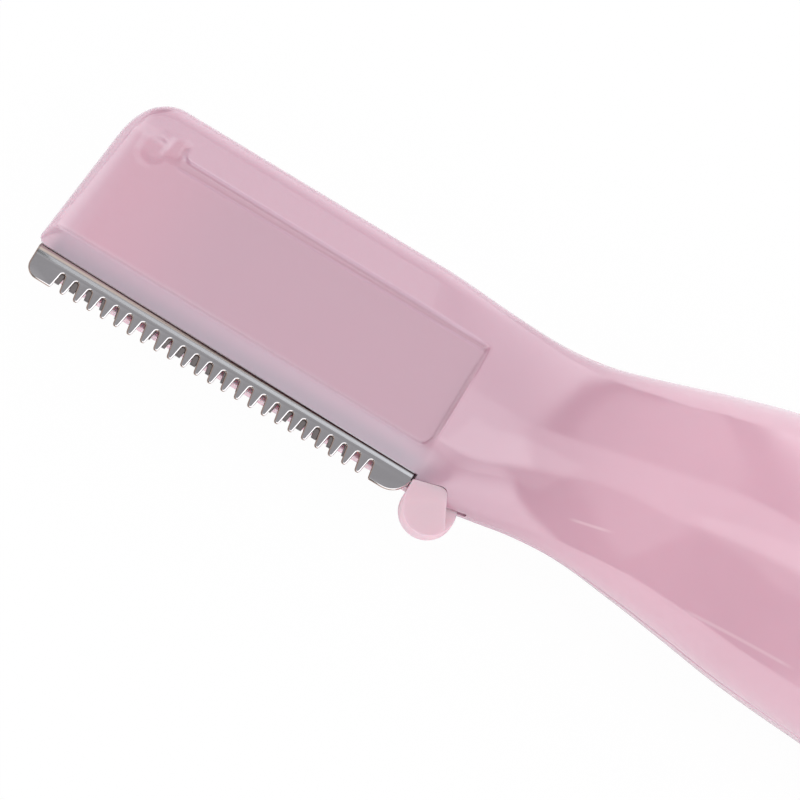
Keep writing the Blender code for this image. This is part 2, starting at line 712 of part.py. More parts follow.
def bevel_cutter(w, name, side, face_z, lip_z):
    """The slope along the lower edge of a head plate; side is 1 in front and -1 behind."""
    top, bottom = height(BEVEL_HEIGHT), height(PLATE_EDGE_HEIGHT)
    outside = side * HEAD_THICKNESS
    slope = ((top, side * face_z), (bottom, side * lip_z), (bottom - CUT_OVERRUN, side * lip_z))
    points = (*slope, (bottom - CUT_OVERRUN, outside), (top, outside))
    return w.cutter(name, end_profile_mesh(name, points, -CUT_OVERRUN, HEAD_LENGTH))


def panel_cutters(w):
    """The sunken panel on the front of the head, its groove and the short notch beside the pivot."""
    top = height(PANEL_TOP)
    below = height(0) - CUT_OVERRUN
    centre = (PIVOT_SETBACK, height(PIVOT_HEIGHT))
    ear = arc(centre, PANEL_EAR, 0, 90, CORNER_POINTS)
    field = [(-CUT_OVERRUN, below), (HEAD_LENGTH, below), (HEAD_LENGTH, top), (ear[0][0], top), *ear[1:]]
    field.append((-CUT_OVERRUN, ear[-1][1]))
    panel = plate_mesh("panel_field", field, PANEL_Z, HEAD_THICKNESS)
    groove_start = centre[0] + PANEL_EAR - NOTCH_WIDTH
    groove = ((groove_start, top - GROOVE_WIDE), (HEAD_LENGTH, top - GROOVE_NARROW), (HEAD_LENGTH, top),
              (groove_start, top))
    channel = plate_mesh("channel", groove, PANEL_Z - GROOVE_DEPTH, HEAD_THICKNESS)
    notch_low = (groove_start, top - GROOVE_WIDE / 2, PANEL_Z - GROOVE_DEPTH)
    notch = box_mesh("ear_notch", notch_low,
                     (groove_start + NOTCH_WIDTH, top + NOTCH_LENGTH, HEAD_THICKNESS))
    return [w.cutter(mesh.name, mesh) for mesh in (panel, channel, notch)]


def screw_places():
    """Where the two case screws stand: x and y."""
    x = TERMINAL_END_X + GRIP_SCREW_LEAD
    return [(x, SCREW_SIDE), (x, -SCREW_SIDE)]


def motor_outline(gap=0.0):
    """The motor's outline in Y and Z: a circle with two flats."""
    radius, flat = MOTOR_RADIUS + gap, MOTOR_FLATS / 2 + gap
    half = math.degrees(math.asin(flat / radius))
    sides = arc((DRIVE_Y, 0), radius, -half, half, FINE_SEGMENTS) + arc(
        (DRIVE_Y, 0), radius, 180 - half, 180 + half, FINE_SEGMENTS
    )
    return sides


def housing_bores(w):
    """Holes through the walls between the compartments, and for the pins and screws."""
    overrun = CUT_OVERRUN / 2
    axis = (DRIVE_Y, 0)
    boss = rod_mesh("boss_bore", MOTOR_BOSS_RADIUS + RUN_GAP, (BULKHEAD_FRONT_X - overrun, *axis),
                    (BULKHEAD_REAR_X + overrun, *axis))
    rib_x = MOTOR_X + MOTOR_RIB_PLACE
    cradle = end_profile_mesh("motor_cradle", motor_outline(RUN_GAP), rib_x - overrun,
                              rib_x + RIB + overrun)
    cell = rod_mesh("cell_bore", CELL_RADIUS + CELL_BORE_GAP, (SEAT_REAR_X, 0, 0),
                    (SPIGOT_END_X + overrun, 0, 0))
    lever = (LEVER_X, DRIVE_Y)
    pin = rod_mesh("lever_pin_bore", LEVER_PIN_RADIUS + RUN_GAP,
                   (*lever, -(LEVER_PIN_LENGTH / 2 + RUN_GAP)),
                   (*lever, LEVER_PIN_LENGTH / 2 + RUN_GAP), FINE_SEGMENTS)
    eye = (PIVOT_SETBACK, height(PIVOT_HEIGHT))
    pivot = rod_mesh("pivot_bore", PIVOT_PIN_RADIUS + RUN_GAP, (*eye, -HEAD_THICKNESS),
                     (*eye, HEAD_THICKNESS),
                     FINE_SEGMENTS)
    tools = [boss, cradle, cell, pin, pivot]
    for i, place in enumerate(screw_places(), start=1):
        tools.append(rod_mesh(f"screw_bore_{i}", SCREW_RADIUS + RUN_GAP, (*place, -GRIP_THICKNESS / 2),
                              (*place, SCREW_BITE + RUN_GAP), FINE_SEGMENTS))
    return [w.cutter(mesh.name, mesh) for mesh in tools]


def strip_levels():
    """Heights of the switch's layers, from the slider's top down: slider, bridge, strips and board."""
    slider_top = GRIP_THICKNESS / 2 - SHELL_WALL - SLIDER_DROP
    bridge_top = slider_top - SLIDER_THICKNESS - RUN_GAP
    strip_top = bridge_top - BRIDGE_SHEET - BRIDGE_DIP - RUN_GAP
    board_top = strip_top - STRIP_SHEET - RUN_GAP
    return slider_top, bridge_top, strip_top, board_top


def negative_level():
    """The top of the strip that runs under the cell."""
    return -(CELL_RADIUS + CELL_BORE_GAP + RUN_GAP)


def strip_ways(w):
    """Slots for the contact strips through the wall in front of the cell and along the cell's bore."""
    strip_top = strip_levels()[2]
    side = STRIP_WIDTH / 2 + FIT_GAP
    low = (SEAT_FRONT_X - CUT_OVERRUN / 2, -side, strip_top - STRIP_SHEET - FIT_GAP)
    upper = box_mesh("positive_way", low, (SEAT_REAR_X + CUT_OVERRUN / 2, side, strip_top + FIT_GAP))
    side = NEGATIVE_WIDTH / 2 + FIT_GAP
    low = (SEAT_FRONT_X - CUT_OVERRUN / 2, -side,
           negative_level() - NEGATIVE_SHEET - CAP_PLATE_SHEET - 4 * FIT_GAP)
    lower = box_mesh("negative_way", low, (SPIGOT_END_X + CUT_OVERRUN, side, 0))
    return [w.cutter(mesh.name, mesh) for mesh in (upper, lower)]


def housing_body(name):
    """The whole outside of the head, neck and grip, with the spigot that the cap goes over."""
    spigot_skin = CAP_WALL + FIT_GAP
    rings = [ring(x) for x in body_places()]
    rings += [ring(SPLIT_X, spigot_skin), ring(SPIGOT_END_X, spigot_skin)]
    return loft_mesh(name, rings)


def build_front_shell(w, material, tools):
    """The front half, with the panel, the comb's plate, the switch recess and the slider's rails."""
    shell = w.part("front_shell", housing_body("front_shell"), material)
    behind, shared = tools["behind"], tools["shared"]
    cut(shell, behind, *tools["hollows"])
    eye = (LEVER_X, DRIVE_Y)
    seat = rod_mesh("front_lever_seat", LEVER_PIN_RADIUS * 2, (*eye, LEVER_HUB_TOP + RUN_GAP),
                    (*eye, NECK_THICKNESS / 2))
    tops = [w.cutter(seat.name, seat)]
    for i, place in enumerate(screw_places(), start=1):
        post = rod_mesh(f"front_post_{i}", SCREW_BOSS_RADIUS, (*place, SEAM_GAP / 2),
                        (*place, GRIP_THICKNESS / 2))
        tops.append(trimmed(w, post, tools["envelope"]))
    _, _, _, board_top = strip_levels()
    for i, side in enumerate((-1, 1), start=1):
        inner, outer = side * (SLIDER_WIDTH / 2 + RUN_GAP), side * (SLIDER_WIDTH / 2 + RUN_GAP + RIB)
        low = (TERMINAL_END_X + BOARD_END_GAP, min(inner, outer), board_top + RUN_GAP)
        rail = box_mesh(f"slider_rail_{i}", low,
                        (SEAT_FRONT_X + RIB / 2, max(inner, outer), GRIP_THICKNESS / 2))
        tops.append(trimmed(w, rail, tools["envelope"]))
    join(shell, *tops)
    face = bevel_cutter(w, "front_bevel", 1, PANEL_Z, CHAMBER_FRONT + PLATE_LIP)
    cut(shell, *tools["head"], face, *panel_cutters(w), *shared, *switch_cutters(w))
    below = height(0) - CUT_OVERRUN
    edge = [(HEAD_LENGTH + TAB_NOTCH_LENGTH * x, height(TAB_NOTCH_HEIGHT * y)) for x, y in TAB_NOTCH_SHARES]
    edge = [(HEAD_LENGTH - RUN_GAP, below), (HEAD_LENGTH - RUN_GAP, edge[0][1]), *edge[1:],
            (edge[-1][0], below)]
    notch = plate_mesh("tab_notch", edge, 0, GRIP_THICKNESS)
    cut(shell, w.cutter(notch.name, notch))
    for i, share in enumerate(RIVET_SHARES, start=1):
        x = COMB_LENGTH * share
        hole = rod_mesh(f"rivet_hole_{i}", RIVET_RADIUS + RUN_GAP, (x, height(RIVET_HEIGHT), 0),
                        (x, height(RIVET_HEIGHT), RIVET_LENGTH + COMB_ROOT_LEVEL + RUN_GAP), FINE_SEGMENTS)
        cut(shell, w.cutter(hole.name, hole))
    return shell


def trimmed(w, mesh, envelope):
    """A post or rail that ends inside the shell's wall."""
    return combine(w.cutter(mesh.name, mesh), envelope, "INTERSECT")


def switch_cutters(w):
    """The recess that the knob slides in and the slot for its stem."""
    reach = KNOB_LENGTH + SWITCH_TRAVEL + 2 * RECESS_MARGIN
    middle = (KNOB_X - SWITCH_TRAVEL / 2, 0)
    recess = plate_mesh("switch_recess",
                        stadium(middle, reach, KNOB_WIDTH + 2 * RECESS_MARGIN, CORNER_POINTS),
                        RECESS_Z, GRIP_THICKNESS)
    length = STEM_LENGTH + SWITCH_TRAVEL + 2 * FIT_GAP
    side = STEM_WIDTH / 2 + FIT_GAP
    slot = box_mesh("stem_slot", (middle[0] - length / 2, -side, strip_levels()[0]),
                    (middle[0] + length / 2, side, GRIP_THICKNESS))
    return [w.cutter(mesh.name, mesh) for mesh in (recess, slot)]


def build_back_shell(w, material, tools):
    """The back half, with the flat that the trimmer rests on and the screw posts."""
    shell = w.part("back_shell", housing_body("back_shell"), material)
    cut(shell, tools["before"], *tools["hollows"])
    eye = (LEVER_X, DRIVE_Y)
    seat = rod_mesh("back_lever_seat", LEVER_PIN_RADIUS * 2, (*eye, -NECK_THICKNESS / 2),
                    (*eye, -(LEVER_BOTTOM + RUN_GAP)))
    posts = [w.cutter(seat.name, seat)]
    wells = []
    for i, place in enumerate(screw_places(), start=1):
        outer = SCREW_HEAD_RADIUS + SCREW_GAP + SCREW_BOSS_WALL
        post = rod_mesh(f"back_post_{i}", outer, (*place, -GRIP_THICKNESS / 2), (*place, -SEAM_GAP / 2))
        well = rod_mesh(f"screw_well_{i}", SCREW_HEAD_RADIUS + SCREW_GAP, (*place, -GRIP_THICKNESS),
                        (*place, screw_seat()))
        posts.append(trimmed(w, post, tools["envelope"]))
        wells.append(w.cutter(well.name, well))
    join(shell, *posts)
    face = bevel_cutter(w, "back_bevel", -1, HEAD_THICKNESS / 2, CHAMBER_BACK + PLATE_LIP)
    pad = box_mesh("rest_pad", (HEAD_LENGTH, -GRIP_WIDTH, -GRIP_THICKNESS),
                   (SPLIT_X + CUT_OVERRUN, GRIP_WIDTH, PAD_Z))
    w.cutter(pad.name, pad)
    cut(shell, *tools["head"], face, *tools["shared"], *wells, bpy.data.objects[pad.name])
    return shell


def screw_seat():
    """The height of the seat under a case screw's head."""
    return -(GRIP_THICKNESS / 2 - SCREW_SEAT)


def build_screws(w, steel):
    """Two slotted screws that hold the shells together."""
    for i, place in enumerate(screw_places(), start=1):
        seat = screw_seat() - RUN_GAP
        screw = w.part(f"case_screw_{i}",
                       rod_mesh("screw", SCREW_HEAD_RADIUS, (*place, seat - SCREW_HEAD), (*place, seat)),
                       steel)
        shank = rod_mesh(f"screw_shank_{i}", SCREW_RADIUS, (*place, seat - SCREW_HEAD / 2),
                         (*place, SCREW_BITE), FINE_SEGMENTS)
        join(screw, w.cutter(shank.name, shank))
        bottom = seat - SCREW_HEAD
        low = (place[0] - SCREW_HEAD_RADIUS - RUN_GAP, place[1] - SCREW_SLOT_WIDTH / 2,
               bottom - CUT_OVERRUN)
        high = (place[0] + SCREW_HEAD_RADIUS + RUN_GAP, place[1] + SCREW_SLOT_WIDTH / 2,
                bottom + SCREW_SLOT_DEPTH)
        slot = box_mesh(f"screw_slot_{i}", low, high)
        cut(screw, w.cutter(slot.name, slot))


def comb_profile(gap=0.0):
    """The comb's bent section in Y and Z: a flat root, a slope and a flat face."""
    root, face = COMB_ROOT_LEVEL, COMB_FACE_LEVEL
    line = [(height(COMB_ROOT_HEIGHT), root), (height(COMB_SLOPE_HEIGHT), root),
            (height(COMB_BEND_HEIGHT), face),
            (height(0), face)]
    upper = [(y, z + COMB_SHEET) for y, z in reversed(line)]
    return line + upper


def tooth_gap(w, name, x, mouth, end, tip, root, levels, pivot=None):
    """A tapered slot between two teeth, open at their tips; mouth and end are its widths."""
    reach = root - tip
    flare = mouth / 2 + (mouth - end) / 2 * CUT_OVERRUN / reach
    low = height(tip) - CUT_OVERRUN
    points = ((x - flare, low), (x + flare, low), (x + end / 2, height(root)), (x - end / 2, height(root)))
    return w.cutter(name, plate_mesh(name, points, *levels), pivot)


def build_comb(w, steel, rivet_steel):
    """The fixed steel comb under the front plate, and the rivets that hold it."""
    comb = w.part("comb_blade", end_profile_mesh("comb_blade", comb_profile(), 0, COMB_LENGTH), steel)
    below = height(0) - CUT_OVERRUN
    mouth, end = COMB_PITCH * COMB_MOUTH_SHARE, COMB_PITCH * COMB_ROOT_SHARE
    for i in range(COMB_TEETH + 1):
        x = COMB_FIRST_TOOTH + (i - 1 / 2) * COMB_PITCH
        cut(comb, tooth_gap(w, f"comb_slot_{i}", x, mouth, end, 0, COMB_SLOT_DEPTH, (0, 2 * CHAMBER_FRONT)))
    corners = ((COMB_TIP_CORNER, COMB_TIP_CORNER, 180),
               (COMB_LENGTH - COMB_HEEL_CORNER, COMB_HEEL_CORNER, 270))
    for i, (x, radius, start) in enumerate(corners, start=1):
        side = -1 if start == 180 else 1
        curve = arc((x, height(radius)), radius, start, start + 90, CORNER_POINTS)
        outside = [(x + side * (radius + CUT_OVERRUN), below),
                   (x + side * (radius + CUT_OVERRUN), height(radius))]
        points = [*curve, (x, below), outside[0], outside[1]] if side < 0 else [*curve, outside[1],
                                                                                outside[0], (x, below)]
        corner = plate_mesh(f"comb_corner_{i}", points, 0, 2 * CHAMBER_FRONT)
        cut(comb, w.cutter(corner.name, corner))
    for i, share in enumerate(RIVET_SHARES, start=1):
        place = (COMB_LENGTH * share, height(RIVET_HEIGHT))
        hole = rod_mesh(f"comb_hole_{i}", RIVET_RADIUS + RUN_GAP, (*place, 0), (*place, 2 * CHAMBER_FRONT),
                        FINE_SEGMENTS)
        cut(comb, w.cutter(hole.name, hole))
        head_top = COMB_ROOT_LEVEL - RUN_GAP
        head = rod_mesh("rivet", RIVET_HEAD_RADIUS, (*place, head_top - RIVET_HEAD), (*place, head_top))
        rivet = w.part(f"comb_rivet_{i}", head, rivet_steel)
        shank = rod_mesh(f"rivet_shank_{i}", RIVET_RADIUS, (*place, head_top - RIVET_HEAD / 2),
                         (*place, COMB_ROOT_LEVEL + RIVET_LENGTH), FINE_SEGMENTS)
        join(rivet, w.cutter(shank.name, shank))


def cutter_outline():
    """The moving cutter's outline before its teeth: a strip, and a tail to the lever with a notch open above."""
    start = CUTTER_INSET
    end = CUTTER_INSET + (CUTTER_TEETH - 1 + CUTTER_ROOT_SHARE) * CUTTER_PITCH
    tail_low, tail_high = height(CUTTER_TAIL_BASE), height(CUTTER_TAIL_BASE + CUTTER_TAIL_HEIGHT)
    half = LEVER_PEG_RADIUS + RUN_GAP
    bottom, middle = height(LEVER_PEG_HEIGHT) - half - RUN_GAP, height(LEVER_PEG_HEIGHT)
    flare = half + 2 * NOTCH_LEAD
    points = [(start, height(CUTTER_TIP_HEIGHT)), (end, height(CUTTER_TIP_HEIGHT)), (end, tail_low)]
    points += [(LEVER_X + CUTTER_TAIL_END, tail_low),
               (LEVER_X + CUTTER_TAIL_END, tail_high),
               (LEVER_X + flare, tail_high), (LEVER_X + half, middle), (LEVER_X + half, bottom),
               (LEVER_X - half, bottom), (LEVER_X - half, middle),
               (LEVER_X - half - NOTCH_LEAD / 2, tail_high),
               (end, tail_high), (end, height(CUTTER_TOP)), (start, height(CUTTER_TOP))]
    return points


def peg_places():
    """Where the arm's two guide pegs stand under the cutter."""
    length = CUTTER_TEETH * CUTTER_PITCH
    return [(CUTTER_INSET + length * share, height(GUIDE_PEG_HEIGHT)) for share in GUIDE_PEG_SHARES]


def build_cutter(w, steel, pivot):
    """The moving cutter, with a slot over each guide peg."""
    mesh = plate_mesh("moving_cutter", cutter_outline(), CUTTER_LEVEL, CUTTER_LEVEL + CUTTER_SHEET)
    cutter = w.part("moving_cutter", mesh, steel, pivot)
    mouth, root_gap = CUTTER_PITCH * (1 - CUTTER_TIP_SHARE), CUTTER_PITCH * (1 - CUTTER_ROOT_SHARE)
    root = CUTTER_TIP_HEIGHT + CUTTER_TOOTH_DEPTH
    for i in range(CUTTER_TEETH + 1):
        x = CUTTER_INSET + (CUTTER_ROOT_SHARE / 2 + i - 1 / 2) * CUTTER_PITCH
        gap = tooth_gap(w, f"cutter_gap_{i}", x, mouth, root_gap, CUTTER_TIP_HEIGHT, root, (0, CHAMBER_FRONT), pivot)
        cut(cutter, gap)
    for i, place in enumerate(peg_places(), start=1):
        width = 2 * (GUIDE_PEG_RADIUS + RUN_GAP)
        slot = plate_mesh(f"guide_slot_{i}",
                          stadium(place, width + 2 * CUTTER_STROKE + 2 * RUN_GAP, width, CORNER_POINTS), 0,
                          CHAMBER_FRONT)
        cut(cutter, w.cutter(slot.name, slot, pivot))


def arm_outline():
    """The arm's outline: an eye about the pivot, a long plate and a low heel under the cutter's tail."""
    eye = (PIVOT_SETBACK, height(PIVOT_HEIGHT))
    bottom, top = height(ARM_EDGE_HEIGHT), height(ARM_TOP)
    end = HEAD_LENGTH - ARM_END_GAP
    shoulder = mix(PIVOT_SETBACK, HEAD_LENGTH, ARM_SHOULDER_SHARE)
    points = arc(eye, ARM_EYE_RADIUS, 0, 180, 2 * CORNER_POINTS)
    points += [(eye[0] - ARM_EYE_RADIUS, top), (CUTTER_INSET, height(BEVEL_HEIGHT)), (CUTTER_INSET, bottom)]
    points += [(HEAD_LENGTH + TAB_SETBACK, bottom), (HEAD_LENGTH + TAB_SETBACK, height(ARM_HEEL_HEIGHT))]
    points += [(end, height(ARM_HEEL_HEIGHT)), (end, height(CUTTER_TOP)),
               (end - ARM_HEEL_HEIGHT, top - ARM_END_GAP)]
    points += [(shoulder, top), (eye[0] + ARM_EYE_RADIUS, top)]
    return points


def build_arm(w, plastic, steel, pivot):
    """The arm that swings the cutter out of the head, its finger tab, guide pegs, pressure spring and pin."""
    top = CUTTER_LEVEL - RUN_GAP
    bottom = top - ARM_THICKNESS
    arm = w.part("cutter_arm", plate_mesh("cutter_arm", arm_outline(), bottom, top), plastic, pivot)
    eye = (PIVOT_SETBACK, height(PIVOT_HEIGHT))
    pegs = []
    for i, place in enumerate(peg_places(), start=1):
        peg = rod_mesh(f"guide_peg_{i}", GUIDE_PEG_RADIUS, (*place, bottom + RUN_GAP),
                       (*place, top + GUIDE_PEG_TOP), FINE_SEGMENTS)
        pegs.append(w.cutter(peg.name, peg, pivot))
    tab = (HEAD_LENGTH + TAB_SETBACK, height(TAB_HEIGHT))
    disc = rod_mesh("tab_disc", TAB_RADIUS, (*tab, bottom), (*tab, TAB_DISC_TOP))
    corners = [(tab[0] + TAB_RADIUS * x, tab[1] + TAB_RADIUS * y) for x, y in TAB_BLOCK_SHARES]
    block = plate_mesh("tab_block", corners, bottom + RUN_GAP, TAB_BLOCK_TOP)
    join(arm, *pegs, w.cutter(disc.name, disc, pivot), w.cutter(block.name, block, pivot))
    bore = rod_mesh("eye_bore", PIVOT_PIN_RADIUS + RUN_GAP, (*eye, -CHAMBER_BACK), (*eye, CHAMBER_FRONT),
                    FINE_SEGMENTS)
    cut(arm, w.cutter(bore.name, bore, pivot))
    build_spring(w, arm, steel, pivot, top)


def build_spring(w, arm, steel, pivot, top):
    """The bowed leaf in a pocket of the arm that presses the cutter against the comb."""
    first, second = peg_places()
    start, end = first[0] + 3 * GUIDE_PEG_RADIUS, second[0] - 3 * GUIDE_PEG_RADIUS
    centre = height(GUIDE_PEG_HEIGHT)
    side = GUIDE_PEG_RADIUS
    floor = top - ARM_THICKNESS / 2
    pocket = box_mesh("spring_pocket", (start - FIT_GAP, centre - side - FIT_GAP, floor),
                      (end + FIT_GAP, centre + side + FIT_GAP, CHAMBER_FRONT))
    cut(arm, w.cutter(pocket.name, pocket, pivot))
    rise = ARM_THICKNESS / 2 - COMB_SHEET - RUN_GAP / 2
    steps = 2 * CORNER_POINTS
    line = [(mix(start, end, i / steps), floor + RUN_GAP + rise * math.sin(math.pi * i / steps))
            for i in range(steps + 1)]
    points = line + [(x, z + COMB_SHEET) for x, z in reversed(line)]
    w.part("pressure_spring", side_profile_mesh("pressure_spring", points, centre - side, centre + side),
           steel, pivot)


def build_pivot_pin(w, plastic):
    """The headed pin that the arm swings on; its head is the small boss near the tip."""
    eye = (PIVOT_SETBACK, height(PIVOT_HEIGHT))
    front, back = PANEL_Z + RUN_GAP, -(HEAD_THICKNESS / 2 + RUN_GAP)
    pin = w.part("arm_pivot_pin",
                 rod_mesh("arm_pivot_pin", PIVOT_PIN_RADIUS, (*eye, back - PIVOT_HEAD_RISE / 2),
                          (*eye, front + PIVOT_HEAD_RISE / 2), FINE_SEGMENTS), plastic)
    head = rod_mesh("pin_head", PIVOT_HEAD_RADIUS, (*eye, front), (*eye, front + PIVOT_HEAD_RISE))
    foot = rod_mesh("pin_foot", PIVOT_HEAD_RADIUS, (*eye, back - PIVOT_HEAD_RISE), (*eye, back))
    join(pin, w.cutter(head.name, head), w.cutter(foot.name, foot))


def build_lever(w, plastic, steel, pivot):
    """The bell-crank: a fork about the eccentric's pin behind, and a peg in the cutter's notch below."""
    bottom, top = -LEVER_BOTTOM, LEVER_PLATE - LEVER_BOTTOM
    centre = (LEVER_X, DRIVE_Y)
    hub = rod_mesh("drive_lever", LEVER_HUB_RADIUS, (*centre, bottom), (*centre, LEVER_HUB_TOP))
    lever = w.part("drive_lever", hub, plastic, pivot)
    half = LEVER_ARM_WIDTH / 2
    peg = (LEVER_X, height(LEVER_PEG_HEIGHT))
    down = box_mesh("lever_down_arm", (LEVER_X - LEVER_TIP_RADIUS, peg[1], bottom),
                    (LEVER_X + LEVER_TIP_RADIUS, DRIVE_Y, top))
    foot = rod_mesh("lever_foot", LEVER_TIP_RADIUS, (*peg, bottom), (*peg, top), FINE_SEGMENTS)
    pin = rod_mesh("lever_peg", LEVER_PEG_RADIUS, (*peg, bottom + RUN_GAP), (*peg, LEVER_PEG_TOP),
                   FINE_SEGMENTS)
    bridge_x = FORK_FRONT_X - FORK_BRIDGE
    back_arm = box_mesh("lever_back_arm", (LEVER_X, DRIVE_Y - half, bottom),
                        (bridge_x + FORK_BRIDGE / 2, DRIVE_Y + half, top))
    inner = 2 * CAM_THROW + CAM_PIN_RADIUS + RUN_GAP
    outer = inner + FORK_WALL
    fork = box_mesh("lever_fork", (bridge_x, DRIVE_Y - outer, -FORK_HEIGHT / 2),
                    (FORK_REAR_X, DRIVE_Y + outer, FORK_HEIGHT / 2))
    slot = box_mesh("fork_slot", (FORK_FRONT_X, DRIVE_Y - inner, -FORK_HEIGHT),
                    (FORK_REAR_X + CUT_OVERRUN, DRIVE_Y + inner, FORK_HEIGHT))
    bore = rod_mesh("lever_bore", LEVER_PIN_RADIUS + RUN_GAP, (*centre, -NECK_THICKNESS),
                    (*centre, NECK_THICKNESS), FINE_SEGMENTS)
    join(lever, *(w.cutter(mesh.name, mesh, pivot) for mesh in (down, foot, pin, back_arm, fork)))
    cut(lever, *(w.cutter(mesh.name, mesh, pivot) for mesh in (slot, bore)))
    pin_half = LEVER_PIN_LENGTH / 2
    w.part("lever_pivot_pin",
           rod_mesh("lever_pivot_pin", LEVER_PIN_RADIUS, (*centre, -pin_half), (*centre, pin_half),
                    FINE_SEGMENTS), steel)


def build_drive(w, plastic, steel, pivot):
    """The eccentric on the motor's shaft."""
    axis = (DRIVE_Y, 0)
    disc = rod_mesh("eccentric_cam", CAM_RADIUS, (CAM_FRONT_X, *axis), (CAM_REAR_X, *axis))
    cam = w.part("eccentric_cam", disc, plastic, pivot)
    pin_axis = (DRIVE_Y, CAM_THROW)
    pin = rod_mesh("cam_pin", CAM_PIN_RADIUS, (FORK_FRONT_X + 2 * CAM_CLEARANCE, *pin_axis),
                   (CAM_FRONT_X + CAM_THICKNESS / 2, *pin_axis), FINE_SEGMENTS)
    bore = rod_mesh("cam_bore", SHAFT_RADIUS + RUN_GAP / 2, (CAM_FRONT_X + CAM_WEB, *axis),
                    (CAM_REAR_X + CUT_OVERRUN, *axis), FINE_SEGMENTS)
    join(cam, w.cutter(pin.name, pin, pivot))
    cut(cam, w.cutter(bore.name, bore, pivot))
    start, end = CAM_FRONT_X + CAM_WEB + RUN_GAP, MOTOR_X + SHAFT_IN_MOTOR
    w.part("motor_shaft",
           rod_mesh("motor_shaft", SHAFT_RADIUS, (start, *axis), (end, *axis), FINE_SEGMENTS), steel, pivot)


def build_motor(w, steel, nylon, brass):
    """The motor's can, end cap and two terminals."""
    axis = (DRIVE_Y, 0)
    can = w.part("motor_can", end_profile_mesh("motor_can", motor_outline(), MOTOR_X, MOTOR_REAR_X), steel)
    boss = rod_mesh("motor_boss", MOTOR_BOSS_RADIUS, (MOTOR_X - MOTOR_BOSS_LENGTH, *axis),
                    (MOTOR_X + RIB, *axis))
    bore = rod_mesh("motor_bore", SHAFT_RADIUS + RUN_GAP, (MOTOR_X - 2 * MOTOR_BOSS_LENGTH, *axis),
                    (MOTOR_X + SHAFT_IN_MOTOR + FIT_GAP, *axis), FINE_SEGMENTS)
    join(can, w.cutter(boss.name, boss))
    cut(can, w.cutter(bore.name, bore))
    end = w.part("motor_end_cap",
                 end_profile_mesh("motor_end_cap", motor_outline(-RUN_GAP), MOTOR_REAR_X + RUN_GAP,
                                  MOTOR_END_X), nylon)
    for i, side in enumerate((1, -1), start=1):
        y = DRIVE_Y + side * TERMINAL_SPREAD
        half, sheet = TERMINAL_WIDTH / 2, TERMINAL_SHEET / 2
        root = MOTOR_END_X - MOTOR_END_LENGTH / 2
        hole = box_mesh(f"terminal_hole_{i}", (root, y - half - RUN_GAP, -sheet - RUN_GAP),
                        (MOTOR_END_X + CUT_OVERRUN, y + half + RUN_GAP, sheet + RUN_GAP))
        cut(end, w.cutter(hole.name, hole))
        w.part(f"motor_terminal_{i}",
               box_mesh("terminal", (root + RUN_GAP, y - half, -sheet), (TERMINAL_END_X, y + half, sheet)),
               brass)


